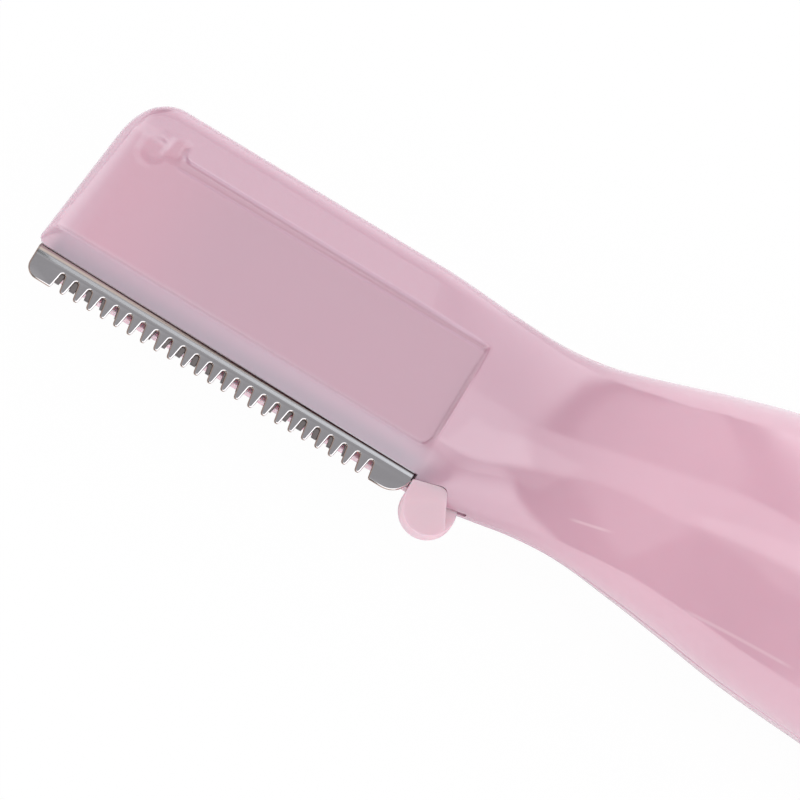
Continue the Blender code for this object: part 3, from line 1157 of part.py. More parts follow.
def build_switch(w, knob_plastic, black, brass, pivot):
    """The slide switch: knob, slider and bridge on the outside, strips and board inside."""
    slider_top, bridge_top, strip_top, board_top = strip_levels()
    knob_low = RECESS_Z + RUN_GAP
    knob_outline = stadium((KNOB_X, 0), KNOB_LENGTH, KNOB_WIDTH, CORNER_POINTS)
    knob = w.part("switch_knob", plate_mesh("switch_knob", knob_outline, knob_low, knob_low + KNOB_HEIGHT),
                  knob_plastic, pivot)
    bevel(knob, KNOB_ROUND)
    ribs = []
    for i in range(KNOB_RIBS):
        x = KNOB_X + (i - (KNOB_RIBS - 1) / 2) * KNOB_RIB_PITCH
        half, reach = KNOB_RIB_WIDTH / 2, KNOB_RIB_LENGTH / 2
        top = knob_low + KNOB_HEIGHT
        rib = box_mesh(f"knob_rib_{i}", (x - half, -reach, top - KNOB_RIB_RISE),
                       (x + half, reach, top + KNOB_RIB_RISE))
        ribs.append(w.cutter(rib.name, rib, pivot))
    stem_low = slider_top - SLIDER_THICKNESS / 2
    stem = box_mesh("knob_stem", (KNOB_X - STEM_LENGTH / 2, -STEM_WIDTH / 2, stem_low),
                    (KNOB_X + STEM_LENGTH / 2, STEM_WIDTH / 2, knob_low + KNOB_HEIGHT / 2))
    join(knob, *ribs, w.cutter(stem.name, stem, pivot))
    half_length, half_width = SLIDER_LENGTH / 2, SLIDER_WIDTH / 2
    slider = w.part("switch_slider",
                    box_mesh("switch_slider",
                             (KNOB_X - half_length, -half_width, slider_top - SLIDER_THICKNESS),
                             (KNOB_X + half_length, half_width, slider_top)), black, pivot)
    gap = RUN_GAP
    socket = box_mesh("stem_socket",
                      (KNOB_X - STEM_LENGTH / 2 - gap, -STEM_WIDTH / 2 - gap, stem_low - gap),
                      (KNOB_X + STEM_LENGTH / 2 + gap, STEM_WIDTH / 2 + gap, GRIP_THICKNESS))
    cut(slider, w.cutter(socket.name, socket, pivot))
    start, end = KNOB_X - BRIDGE_LENGTH / 2, KNOB_X + BRIDGE_LENGTH / 2
    dip = BRIDGE_DIP
    line = [(start, bridge_top - dip), (start + 2 * dip, bridge_top - dip), (start + 4 * dip, bridge_top),
            (end - 4 * dip, bridge_top), (end - 2 * dip, bridge_top - dip), (end, bridge_top - dip)]
    points = line + [(x, z - BRIDGE_SHEET) for x, z in reversed(line)]
    w.part("switch_bridge", side_profile_mesh("switch_bridge", points, -BRIDGE_WIDTH / 2, BRIDGE_WIDTH / 2),
           brass, pivot)
    half = STRIP_WIDTH / 2
    strip_end = start - STRIP_GAP
    w.part("motor_strip",
           box_mesh("motor_strip", (strip_end - MOTOR_STRIP_LENGTH, -half, strip_top - STRIP_SHEET),
                    (strip_end, half, strip_top)), brass)
    rear = POSITIVE_X + STRIP_SHEET
    bottom = strip_top - POSITIVE_DROP
    points = [(start, strip_top), (start, strip_top - STRIP_SHEET), (POSITIVE_X, strip_top - STRIP_SHEET),
              (POSITIVE_X, bottom), (rear, bottom), (rear, strip_top)]
    w.part("positive_strip", side_profile_mesh("positive_strip", points, -half, half), brass)
    low = (TERMINAL_END_X + BOARD_END_GAP, -BOARD_SIDE, board_top - BOARD_THICKNESS)
    w.part("switch_board", box_mesh("switch_board", low, (SEAT_FRONT_X - BOARD_END_GAP, BOARD_SIDE, board_top)),
           black)


def build_cell(w, jacket, steel):
    """The replaceable cell, its spring, the cap's contact and the strip under the cell."""
    nub = CELL_NUB_RADIUS
    round_off = CELL_EDGE_ROUND
    profile = [(NUB_X, 0), (NUB_X, nub), (CELL_X, nub), (CELL_X, CELL_RADIUS - round_off),
               (CELL_X + round_off, CELL_RADIUS)]
    profile += [(CELL_END_X - round_off, CELL_RADIUS), (CELL_END_X, CELL_RADIUS - round_off),
                (CELL_END_X, 0)]
    w.part("battery_cell", turned_mesh("battery_cell", profile, 2 * ROUND_SEGMENTS), jacket)
    top = negative_level()
    side = NEGATIVE_WIDTH / 2
    low = (SEAT_FRONT_X - NEGATIVE_LEAD_IN, -side, top - NEGATIVE_SHEET)
    w.part("negative_strip", box_mesh("negative_strip", low, (SPIGOT_END_X - RIB, side, top)), steel)


def spring_points():
    """Points along the battery spring's helix."""
    steps = SPRING_TURNS * SPRING_TURN_POINTS
    points = []
    for i in range(steps + 1):
        angle = 2 * math.pi * i / SPRING_TURN_POINTS
        points.append((mix(SPRING_X, SPRING_END_X, i / steps), SPRING_RADIUS * math.cos(angle),
                       SPRING_RADIUS * math.sin(angle)))
    return points


def tube_mesh(name, points, radius):
    """A round wire through a list of points."""
    curve = bpy.data.curves.new(name, "CURVE")
    curve.dimensions = "3D"
    curve.bevel_depth = radius
    curve.bevel_resolution = 2
    curve.use_fill_caps = True
    spline = curve.splines.new("POLY")
    spline.points.add(len(points) - 1)
    for point, place in zip(spline.points, points):
        point.co = (*place, 1)
    holder = bpy.data.objects.new(name, curve)
    bpy.context.scene.collection.objects.link(holder)
    mesh = bpy.data.meshes.new_from_object(holder.evaluated_get(bpy.context.evaluated_depsgraph_get()))
    bpy.data.objects.remove(holder)
    shape = bmesh.new()
    shape.from_mesh(mesh)
    bmesh.ops.remove_doubles(shape, verts=shape.verts, dist=RUN_GAP / 100)
    return mesh_from_bmesh(name, shape)


def cap_shrink(x):
    """How much the cap's outline has drawn in near its rounded end."""
    along = max(x - (TAIL_X - CAP_END_ROUND), 0.0) / CAP_END_ROUND
    return 1 - CAP_END_SHARE * (1 - math.sqrt(max(1 - along**2, 0.0)))


def build_cap(w, material, steel, pivot):
    """The push-on battery cap with its spring and contact."""
    start = SPLIT_X + SEAM_GAP
    round_start = TAIL_X - CAP_END_ROUND
    places = [mix(start, round_start, share) for share in CAP_RING_SHARES]
    end_places = [round_start + CAP_END_ROUND * math.sin(math.radians(angle))
                  for angle in CAP_END_ANGLES_DEG]
    rings = [ring(x, shrink=cap_shrink(x)) for x in places + end_places]
    cap = w.part("battery_cap", loft_mesh("battery_cap", rings), material, pivot)
    inside = [SPLIT_X - CUT_OVERRUN, *places[1:], mix(round_start, CAP_INNER_X, 1 / 2), CAP_INNER_X]
    hollow = loft_mesh("cap_hollow", [ring(x, CAP_WALL, cap_shrink(x)) for x in inside])
    cut(cap, w.cutter(hollow.name, hollow, pivot))
    w.part("battery_spring", tube_mesh("battery_spring", spring_points(), SPRING_WIRE), steel, pivot)
    plate = rod_mesh("cap_contact", CAP_PLATE_RADIUS, (CAP_PLATE_X, 0, 0),
                     (CAP_PLATE_X + CAP_PLATE_SHEET, 0, 0))
    contact = w.part("cap_contact", plate, steel, pivot)
    leg_z = negative_level() - NEGATIVE_SHEET - RUN_GAP
    rim = -(CAP_PLATE_RADIUS - CAP_PLATE_SHEET)
    bend = CELL_END_X + SPRING_WIRE
    end = CAP_PLATE_X + CAP_PLATE_SHEET
    points = [(SPIGOT_END_X - CAP_LEG_LAP, leg_z), (bend, leg_z), (CAP_PLATE_X, rim), (end, rim),
              (end, rim - CAP_PLATE_SHEET), (bend, leg_z - CAP_PLATE_SHEET),
              (SPIGOT_END_X - CAP_LEG_LAP, leg_z - CAP_PLATE_SHEET)]
    leg = side_profile_mesh("cap_leg", points, -CAP_LEG_WIDTH / 2, CAP_LEG_WIDTH / 2)
    join(contact, w.cutter(leg.name, leg, pivot))


def smooth_route(points, steps=4):
    """Points along a smooth curve through a route's own points."""
    route = [points[0], *points, points[-1]]
    result = []
    for a, b, c, d in zip(route, route[1:], route[2:], route[3:]):
        for i in range(steps):
            t = i / steps
            result.append(tuple(
                0.5 * (2 * b[k] + (c[k] - a[k]) * t + (2 * a[k] - 5 * b[k] + 4 * c[k] - d[k]) * t**2
                       + (3 * b[k] - a[k] - 3 * c[k] + d[k]) * t**3)
                for k in range(3)
            ))
    return [*result, tuple(points[-1])]


def build_leads(w, red, black):
    """The two lead wires: motor strip to the first terminal, and the strip under the cell to the second."""
    gap = LEAD_RADIUS + RUN_GAP
    board_low = strip_levels()[3] - BOARD_THICKNESS
    x = TERMINAL_END_X - TERMINAL_LENGTH / 2
    above = TERMINAL_SHEET / 2 + gap
    end_x = SEAT_FRONT_X - NEGATIVE_LEAD_IN / 2
    middle_x = mix(TERMINAL_END_X, end_x, 1 / 2)
    y = DRIVE_Y + TERMINAL_SPREAD
    board_x = KNOB_X - BRIDGE_LENGTH / 2 - STRIP_GAP - MOTOR_STRIP_LENGTH / 2
    red_route = [(x, y, above), (x + TERMINAL_LENGTH, y, above + LEAD_RADIUS),
                 (board_x, 0, board_low - gap)]
    w.part("red_lead", tube_mesh("red_lead", smooth_route(red_route), LEAD_RADIUS), red)
    y = DRIVE_Y - TERMINAL_SPREAD
    low = negative_level() + gap
    black_route = [(x, y, -above), (x + TERMINAL_LENGTH, y, -above - LEAD_RADIUS),
                   (middle_x, y / 2, low / 2), (end_x, 0, low)]
    w.part("black_lead", tube_mesh("black_lead", smooth_route(black_route), LEAD_RADIUS), black)


def main():
    clear_scene()
    w = Workshop()
    pink = make_material("pink_plastic", (0.73, 0.42, 0.52), 0.22)
    arm_pink = make_material("arm_plastic", (0.86, 0.60, 0.68), 0.4)
    steel = make_material("comb_steel", (0.55, 0.55, 0.56), 0.22, 1.0)
    cutter_steel = make_material("cutter_steel", (0.42, 0.41, 0.41), 0.3, 1.0)
    spring_steel = make_material("spring_steel", (0.6, 0.6, 0.6), 0.3, 1.0)
    screw_steel = make_material("screw_steel", (0.5, 0.5, 0.5), 0.35, 1.0)
    acetal = make_material("acetal", (0.86, 0.85, 0.81), 0.45)
    nylon = make_material("nylon", (0.12, 0.12, 0.13), 0.5)
    brass = make_material("brass", (0.72, 0.55, 0.28), 0.3, 1.0)
    jacket = make_material("cell_jacket", (0.08, 0.2, 0.12), 0.35)
    red = make_material("red_insulation", (0.55, 0.03, 0.03), 0.45)
    black = make_material("black_insulation", (0.03, 0.03, 0.03), 0.45)
    white = make_material("knob_plastic", (0.85, 0.82, 0.83), 0.35)
    arm_axis = w.pivot("arm_axis", (PIVOT_SETBACK, height(PIVOT_HEIGHT), 0))
    lever_axis = w.pivot("lever_axis", (LEVER_X, DRIVE_Y, 0))
    motor_axis = w.pivot("motor_axis", (MOTOR_X, DRIVE_Y, 0))
    switch_axis = w.pivot("switch_axis", (KNOB_X, 0, RECESS_Z))
    cap_axis = w.pivot("cap_axis", (SPLIT_X, 0, 0))
    behind, before = seam_cutters(w)
    middle = cavity_mesh("wall_middle", BULKHEAD_REAR_X, SEAT_REAR_X, SHELL_WALL / 2)
    tools = {
        "behind": behind,
        "before": before,
        "hollows": hollow_cutters(w),
        "head": head_cutters(w),
        "shared": housing_bores(w) + strip_ways(w),
        "envelope": w.cutter(middle.name, middle),
    }
    build_front_shell(w, pink, tools)
    build_back_shell(w, pink, tools)
    build_screws(w, screw_steel)
    build_comb(w, steel, spring_steel)
    build_arm(w, arm_pink, spring_steel, arm_axis)
    build_cutter(w, cutter_steel, arm_axis)
    build_pivot_pin(w, pink)
    build_lever(w, acetal, spring_steel, lever_axis)
    build_drive(w, acetal, spring_steel, motor_axis)
    build_motor(w, spring_steel, nylon, brass)
    build_switch(w, white, nylon, brass, switch_axis)
    build_cell(w, jacket, spring_steel)
    build_cap(w, pink, spring_steel, cap_axis)
    build_leads(w, red, black)


main()
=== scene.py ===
import json
import math

import bmesh
import bpy
from mathutils import Matrix, Vector


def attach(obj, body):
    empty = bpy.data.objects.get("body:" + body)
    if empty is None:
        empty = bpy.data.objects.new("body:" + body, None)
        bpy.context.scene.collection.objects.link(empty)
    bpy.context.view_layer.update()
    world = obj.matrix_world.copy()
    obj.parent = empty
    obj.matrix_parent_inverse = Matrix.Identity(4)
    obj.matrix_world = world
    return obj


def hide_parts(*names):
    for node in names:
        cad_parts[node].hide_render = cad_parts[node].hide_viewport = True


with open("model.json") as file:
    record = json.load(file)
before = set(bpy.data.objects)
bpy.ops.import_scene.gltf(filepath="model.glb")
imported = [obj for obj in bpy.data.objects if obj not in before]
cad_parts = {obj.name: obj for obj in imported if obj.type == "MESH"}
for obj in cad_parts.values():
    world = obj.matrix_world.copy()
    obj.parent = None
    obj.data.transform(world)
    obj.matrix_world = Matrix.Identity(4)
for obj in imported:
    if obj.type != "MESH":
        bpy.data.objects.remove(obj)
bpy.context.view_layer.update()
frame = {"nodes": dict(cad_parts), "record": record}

# Lengths are in millimetres, in the trimmer's own frame: X from the head's tip, y = 0 on the handle's axis
# and z = 0 in the parting plane. place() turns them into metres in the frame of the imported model.
MM = 0.001
TIP_X = -75.0
LIFT = 8.2

HEAD_LENGTH = 27.5
HEAD_HEIGHT = 14.1
HEAD_THICKNESS = 4.7
HEAD_EDGE_ROUND = 1.0
HEAD_CORNER = 3.0
HEAD_TIP_SLANT = 1.4
HEAD_TIP_LEAD = 0.6
COMB_TIP_Y = -9.8
NECK_LENGTH = 34.5
NECK_THICKNESS = 5.0
NECK_DEPTH = 9.2
NECK_WAIST = 1.5
NECK_END = HEAD_LENGTH + NECK_LENGTH
GRIP_WIDTH = 19.6
GRIP_THICKNESS = 17.2
TAIL_WIDTH = 15.8
TAIL_THICKNESS = 15.2
SPLIT_X = 112.9
TAIL_X = 136.9
SEAM = 0.02
SEAM_CHAMFER = 0.07
PAD_Z = -8.2

# Along the neck: the spot, how far the back edge and the comb's edge have come to the grip's width, the share
# of the waist and of the thickness, and the corners' two radii as shares of the half sizes
NECK_SHARES = (
    (0.000, 0.000, 0.00, 0.00, 0.000, 0.18, 0.45),
    (0.119, -0.006, 0.00, 0.463, 0.055, 0.34, 0.70),
    (0.206, 0.073, 0.04, 0.838, 0.139, 0.53, 0.85),
    (0.293, 0.242, 0.10, 0.989, 0.279, 0.72, 0.94),
    (0.409, 0.480, 0.25, 0.870, 0.492, 0.86, 0.98),
    (0.525, 0.700, 0.45, 0.635, 0.672, 0.93, 0.98),
    (0.670, 0.882, 0.70, 0.300, 0.836, 0.97, 0.98),
    (0.843, 0.976, 0.90, 0.115, 0.951, 0.98, 0.98),
    (1.000, 1.000, 1.00, 0.000, 1.000, 0.98, 0.98),
)

# Behind the neck: the spot, and how far the width and the thickness have come to the tail's
TAPER_SHARES = ((0.0, 0.0), (0.18, 0.0), (0.44, 0.24), (0.68, 0.58), (0.90, 0.94), (1.0, 1.0))

# Where the flat faces swell to a crown, and the crown's power over the head, the neck and the grip
CROWN_BEGIN = (22, 29)
CROWN_POWERS = (2.5, 2.0, 2.4)
CROWN_NECK = (28, 33.5)
CROWN_GRIP = (38, 46)

# The front of the head. Its heights, like every value called t, are counted from the comb's tips.
PANEL_Z = 2.1
PANEL_RISE = 0.16
PANEL_TOP = 11.12
PANEL_TOP_X = 8
PANEL_TILT = 0.009
PANEL_END = 27.25
PANEL_CORNER = 0.9
PANEL_LOW = 3.3
PANEL_WALL = 0.13
PANEL_STEP = 0.12
PANEL_TIP_STEP = 0.9
TIP_END = (4.2, 5.2)
CHANNEL_LOW = 10.46
CHANNEL_TILT = 0.006
CHANNEL_GAP = 0.15
CHANNEL_START = (4.5, 5.1)
CHANNEL_STOP = (PANEL_END - 0.1, PANEL_END - 0.4)
CHANNEL_SIDES = (1.4, 0.6)
CHANNEL_DEPTH = 0.035
LINE_WIDTH = 0.12
LINE_RISE = 0.012
BOSS = (2.75, 10.7)
BOSS_RING = 1.02
BOSS_RING_WIDTH = 0.22
BOSS_RISE = 0.025
BOSS_HOLLOW = (0.95, 0.4)
BOSS_DIP = 0.015
NOTCH_X = 4.08
NOTCH_T = 11.2
NOTCH_TILT = 0.2
NOTCH_ENDS = ((12.4, 11.8), (10.4, 10.9))
NOTCH_SIDES = (0.75, 0.1)
NOTCH_DEPTH = 0.05
RIDGE_X = 3.45
RIDGE_WIDTH = 0.15
RIDGE_RISE = 0.02
BEVEL_HEIGHT = 3.1
BEVEL_BLEND = 0.4
BEVEL_STOP = (HEAD_LENGTH + 4.0, HEAD_LENGTH - 0.4)
PLATE_EDGE = (2.01, 1.73)
LIP_Z = 1.4

# The back of the head
BACK_LIP_Z = 1.5
BACK_BLEND = 0.12
BACK_STOP = (HEAD_LENGTH + 1.2, HEAD_LENGTH - 0.2)

# The switch, and the recess that it slides in
SWITCH_X = 75.45
RECESS_LENGTH = 15.1
RECESS_WIDTH = 7.0
RECESS_DEPTH = 0.6
RECESS_WALL = 0.12
FRONT_RELIEF_END = HEAD_LENGTH + 5

# The places that several pieces share: the arm's pivot, the lever's pivot and the two case screws
PIVOT = (3.0, 10.7)
LEVER_X = 30.2
SCREWS = ((72.7, 5.7), (72.7, -5.7))


def place(point):
    """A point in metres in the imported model's frame."""
    return ((point[0] + TIP_X) * MM, point[1] * MM, (point[2] + LIFT) * MM)


def height(value):
    return COMB_TIP_Y + value


def mix(start, end, share):
    return start + (end - start) * share


def smooth(low, high, value):
    """0 below low, 1 above high and an even curve between them."""
    t = min(max((value - low) / (high - low), 0.0), 1.0)
    return t * t * (3 - 2 * t)


def eased(rows, spot, column):
    """A value from a table, on a cubic through the rows on either side of a spot."""
    last = len(rows) - 1
    i = max(j for j in range(last) if spot >= rows[j][0] or j == 0)

    def slope(k):
        low, high = max(k - 1, 0), min(k + 1, last)
        return (rows[high][column] - rows[low][column]) / (rows[high][0] - rows[low][0])

    span = rows[i + 1][0] - rows[i][0]
    t = (spot - rows[i][0]) / span
    start, end = rows[i][column], rows[i + 1][column]
    flat_start = 0.0 if i == 0 else slope(i)
    flat_end = 0.0 if i + 1 == last else slope(i + 1)
    return (
        (2 * t**3 - 3 * t**2 + 1) * start
        + (t**3 - 2 * t**2 + t) * span * flat_start
        + (3 * t**2 - 2 * t**3) * end
        + (t**3 - t**2) * span * flat_end
    )


def section(x):
    """The outer outline at a place along X: low y, high y, half thickness, and its corners' two radii."""
    head_back = height(HEAD_HEIGHT)
    grip_half = GRIP_WIDTH / 2
    if x < HEAD_LENGTH:
        round_x = min(max(x, 0.0), HEAD_CORNER)
        drop = HEAD_CORNER - math.sqrt(max(HEAD_CORNER**2 - (HEAD_CORNER - round_x) ** 2, 0.0))
        edge_x = min(max(x, 0.0), HEAD_EDGE_ROUND)
        thin = HEAD_EDGE_ROUND - math.sqrt(max(HEAD_EDGE_ROUND**2 - (HEAD_EDGE_ROUND - edge_x) ** 2, 0.0))
        half = mix(HEAD_THICKNESS, NECK_THICKNESS, (x / HEAD_LENGTH) ** 3) / 2 - thin
        corner = mix(HEAD_EDGE_ROUND, NECK_SHARES[0][5] * (head_back + NECK_DEPTH) / 2, x / HEAD_LENGTH)
        edge = mix(HEAD_EDGE_ROUND, NECK_SHARES[0][6] * NECK_THICKNESS / 2, x / HEAD_LENGTH)
        return -NECK_DEPTH, head_back - drop, half, corner, min(edge, half * NECK_SHARES[-1][6])
    if x < NECK_END:
        spot = (x - HEAD_LENGTH) / NECK_LENGTH
        back, comb, waist, thick, corner, edge = (eased(NECK_SHARES, spot, c) for c in range(1, 7))
        low = -(mix(NECK_DEPTH, grip_half, comb) - waist * NECK_WAIST)
        high = mix(head_back, grip_half, back)
        half = mix(NECK_THICKNESS, GRIP_THICKNESS, thick) / 2
        return low, high, half, corner * (high - low) / 2, edge * half
    taper = eased(TAPER_SHARES, min((x - NECK_END) / (TAIL_X - NECK_END), 1.0), 1)
    across = mix(GRIP_WIDTH, TAIL_WIDTH, taper) / 2
    half = mix(GRIP_THICKNESS, TAIL_THICKNESS, taper) / 2
    return -across, across, half, NECK_SHARES[-1][5] * across, NECK_SHARES[-1][6] * half


def tip_shift(x, y):
    """How far the slanted tip moves a point along X."""
    slant = HEAD_TIP_SLANT * (y - height(0)) / HEAD_HEIGHT - HEAD_TIP_LEAD
    return slant * max(1 - x / (2 * HEAD_CORNER), 0.0)


def crowned(x, y, z):
    """The height of a point once the neck's flat faces have swelled to a crown."""
    low, high, half, _, _ = section(x)
    share = smooth(*CROWN_BEGIN, x)
    if share == 0.0:
        return z
    head_power, neck_power, grip_power = CROWN_POWERS
    power = mix(head_power, neck_power, smooth(*CROWN_NECK, x))
    power = mix(power, grip_power, smooth(*CROWN_GRIP, x))
    across = min(abs(y - (low + high) / 2) / ((high - low) / 2), 1.0)
    crown = half * (1 - across**power) ** (1 / power)
    return min(z, mix(z, crown, share))


# The relief on the two faces of the head


def stadium_distance(x, y, centre, length, width):
    """How far a point lies outside an outline with round ends."""
    reach = (length - width) / 2
    dx = max(abs(x - centre[0]) - reach, 0.0)
    return math.hypot(dx, y - centre[1]) - width / 2


def lower_of(first, second, blend):
    """The smaller of two values, with a rounded change from one to the other."""
    share = max(blend - abs(first - second), 0.0) / blend
    return min(first, second) - share * share * blend / 4


def hump(distance, width):
    """1 on a line and 0 away from it, with a soft change between."""
    return math.exp(-((distance / width) ** 2))


def plate_edge(x):
    """How high over the comb's tips the plates end."""
    return mix(*PLATE_EDGE, min(max(x / HEAD_LENGTH, 0.0), 1.0))


def slope_level(x, y, face_z, lip_z):
    """The height of the slope that runs down to a plate's lower edge."""
    edge = plate_edge(x)
    return mix(lip_z, face_z, (y - height(edge)) / (BEVEL_HEIGHT - edge))


def panel_top(x):
    """How high over the comb's tips the panel's back edge lies at a place along X."""
    return PANEL_TOP - PANEL_TILT * (x - PANEL_TOP_X)


def panel_level(x, t, z):
    """The height of the front face with its sunken panel, which has a rounded corner at its heel."""
    beyond = x - PANEL_END + PANEL_CORNER
    below = PANEL_LOW + PANEL_CORNER - t
    corner = math.hypot(max(beyond, 0.0), max(below, 0.0)) + min(max(beyond, below), 0.0) - PANEL_CORNER
    inside = smooth(PANEL_WALL, -PANEL_WALL, corner)
    soft = mix(PANEL_TIP_STEP, PANEL_STEP, smooth(*TIP_END, x))
    floor_z = mix(PANEL_Z, PANEL_Z + PANEL_RISE, smooth(PANEL_LOW, PANEL_TOP, t))
    top = panel_top(x)
    return z - max(z - floor_z, 0.0) * smooth(top + soft, top - PANEL_STEP, t) * inside


def channel_relief(x, t):
    """What the channel under the panel's back edge, and the faint line below it, add to the height."""
    low_edge = CHANNEL_LOW + CHANNEL_TILT * x
    high_edge = panel_top(x) - CHANNEL_GAP
    middle, wide = (low_edge + high_edge) / 2, high_edge - low_edge
    along = smooth(*CHANNEL_START, x) * smooth(*CHANNEL_STOP, x)
    sunk = CHANNEL_DEPTH * smooth(*CHANNEL_SIDES, abs(t - middle) / (wide / 2))
    line = LINE_RISE * hump(t - low_edge + CHANNEL_GAP, LINE_WIDTH)
    return (line - sunk) * along


def boss_relief(x, t):
    """What the ring over the pivot, and the short notch beside it with its ridge, add to the height."""
    reach = math.hypot(x - BOSS[0], t - BOSS[1])
    ring = BOSS_RISE * hump(reach - BOSS_RING, BOSS_RING_WIDTH) - BOSS_DIP * smooth(*BOSS_HOLLOW, reach)
    lean = x - NOTCH_TILT * (t - NOTCH_T)
    span = smooth(*NOTCH_ENDS[0], t) * smooth(*NOTCH_ENDS[1], t)
    notch = NOTCH_DEPTH * smooth(*NOTCH_SIDES, abs(lean - NOTCH_X))
    ridge = RIDGE_RISE * hump(lean - RIDGE_X, RIDGE_WIDTH)
    return ring + (ridge - notch) * span


def switch_recess(x, y, z):
    """How far the floor of the switch's recess lies under the plain outline at a point."""
    level = z - (GRIP_THICKNESS / 2 - RECESS_DEPTH)
    distance = stadium_distance(x, y, (SWITCH_X, 0.0), RECESS_LENGTH, RECESS_WIDTH)
    return max(level, 0.0) * smooth(RECESS_WALL, -RECESS_WALL, distance)


def front_relief(x, y, z):
    """How far the front face lies under the plain outline at a point."""
    if x > FRONT_RELIEF_END:
        return switch_recess(x, y, z)
    if z < LIP_Z:
        return 0.0
    t = y - height(0)
    level = panel_level(x, t, z) + channel_relief(x, t) + boss_relief(x, t)
    sloped = lower_of(level, slope_level(x, y, PANEL_Z, LIP_Z), BEVEL_BLEND)
    return z - mix(level, sloped, smooth(*BEVEL_STOP, x))


def back_relief(x, y, z):
    """How far the back face lies under the plain outline at a point."""
    if x > BACK_STOP[0]:
        return max(z + PAD_Z, 0.0)
    if z < BACK_LIP_Z:
        return 0.0
    sloped = lower_of(z, slope_level(x, y, HEAD_THICKNESS / 2, BACK_LIP_Z), BACK_BLEND)
    return z - mix(z, sloped, smooth(*BACK_STOP, x))


# Outlines, solids and the tools that shape them

ARC_POINTS = 22
FLAT_POINTS = 150
SIDE_HEIGHT = 0.3
LEAST_SIDE = 0.01
LEAST_RISE = 0.001
ROD_SEGMENTS = 64
MERGE_DISTANCE = 0.001
SHARP_DEGREES = 40


def half_ring(x, side, relief, wall=0.0):
    """The points of one half outline, from the seam on the back edge to the seam on the comb's edge."""
    low, high, half, corner_y, corner_z = section(x)
    middle, across, deep = (low + high) / 2, (high - low) / 2 - wall, half - wall
    corner_y, corner_z = corner_y * across / (across + wall), corner_z * deep / half
    start_z = max(deep - corner_z, SEAM + SEAM_CHAMFER + LEAST_SIDE)
    rows = [
        (middle + across - SEAM_CHAMFER, SEAM),
        (middle + across, SEAM + SEAM_CHAMFER),
        (middle + across, start_z),
    ]
    for i in range(1, ARC_POINTS + 1):
        angle = math.radians(90 * i / ARC_POINTS)
        y = middle + across - corner_y + corner_y * math.cos(angle)
        z = max(deep - corner_z + corner_z * math.sin(angle), start_z + LEAST_RISE * i)
        rows.append((y, z))
    top, bottom = middle + across - corner_y, middle - across + corner_y
    flat = [(mix(top, bottom, i / (FLAT_POINTS + 1)), deep) for i in range(1, FLAT_POINTS + 1)]
    mirrored = [(2 * middle - y, z) for y, z in reversed(rows)]
    points = []
    for y, z in rows + flat + mirrored:
        if wall:
            z = crowned(x, y, z + wall) - wall
        else:
            z = max(crowned(x, y, z), min(z, SIDE_HEIGHT + SEAM))
            z = max(z - relief(x, y, z), SEAM)
        points.append((x + tip_shift(x, y), y, side * z))
    return points


def skin(name, rings):
    """A closed solid over a row of outlines."""
    shape = bmesh.new()
    rows = [[shape.verts.new(place(point)) for point in points] for points in rings]
    for first, second in zip(rows, rows[1:]):
        for i in range(len(first)):
            j = (i + 1) % len(first)
            shape.faces.new((first[i], first[j], second[j], second[i]))
    shape.faces.new(rows[0])
    shape.faces.new(rows[-1])
    return finished(name, shape)


def finished(name, shape):
    """An object of a bmesh, with its faces pointing out."""
    bmesh.ops.recalc_face_normals(shape, faces=shape.faces)
    mesh = bpy.data.meshes.new(name)
    shape.to_mesh(mesh)
    shape.free()
    obj = bpy.data.objects.new(name, mesh)
    bpy.context.scene.collection.objects.link(obj)
    return obj


def box(name, low, high):
    shape = bmesh.new()
    bmesh.ops.create_cube(shape, size=1.0)
    low, high = Vector(place(low)), Vector(place(high))
    bmesh.ops.scale(shape, vec=high - low, verts=shape.verts)
    bmesh.ops.translate(shape, vec=(high + low) / 2, verts=shape.verts)
    return finished(name, shape)


def rod(name, radius, start, end):
    shape = bmesh.new()
    start, end = Vector(place(start)), Vector(place(end))
    turn = Vector((0, 0, 1)).rotation_difference(end - start).to_matrix().to_4x4()
    radius *= MM
    bmesh.ops.create_cone(shape, cap_ends=True, segments=ROD_SEGMENTS, radius1=radius, radius2=radius,
                          depth=(end - start).length, matrix=Matrix.Translation((start + end) / 2) @ turn)
    return finished(name, shape)


def plate(name, points, low_z, high_z, edge=0.0, edge_steps=3):
    """An outline in X and Y between two heights, with its rims rounded by an edge radius."""
    curve = bpy.data.curves.new(name, "CURVE")
    curve.dimensions = "2D"
    curve.fill_mode = "BOTH"
    curve.extrude = (high_z - low_z) / 2 - edge
    curve.bevel_depth = edge
    curve.bevel_resolution = edge_steps
    curve.offset = -edge
    spline = curve.splines.new("POLY")
    spline.points.add(len(points) - 1)
    for point, (across, up) in zip(spline.points, points):
        point.co = (across, up, 0, 1)
    spline.use_cyclic_u = True
    holder = bpy.data.objects.new(name, curve)
    bpy.context.scene.collection.objects.link(holder)
    mesh = bpy.data.meshes.new_from_object(holder.evaluated_get(bpy.context.evaluated_depsgraph_get()))
    bpy.data.objects.remove(holder)
    bpy.data.curves.remove(curve)
    shape = bmesh.new()
    shape.from_mesh(mesh)
    bpy.data.meshes.remove(mesh)
    bmesh.ops.remove_doubles(shape, verts=shape.verts, dist=MERGE_DISTANCE)
    for vertex in shape.verts:
        vertex.co = place((vertex.co.x, vertex.co.y, vertex.co.z + (low_z + high_z) / 2))
    return finished(name, shape)


def combine(target, operation, *tools):
    """Applies Booleans and deletes the tools."""
    for tool in tools:
        modifier = target.modifiers.new(tool.name, "BOOLEAN")
        modifier.operation = operation
        modifier.object = tool
        modifier.solver = "EXACT"
    apply(target)
    for tool in tools:
        bpy.data.objects.remove(tool)
    return target


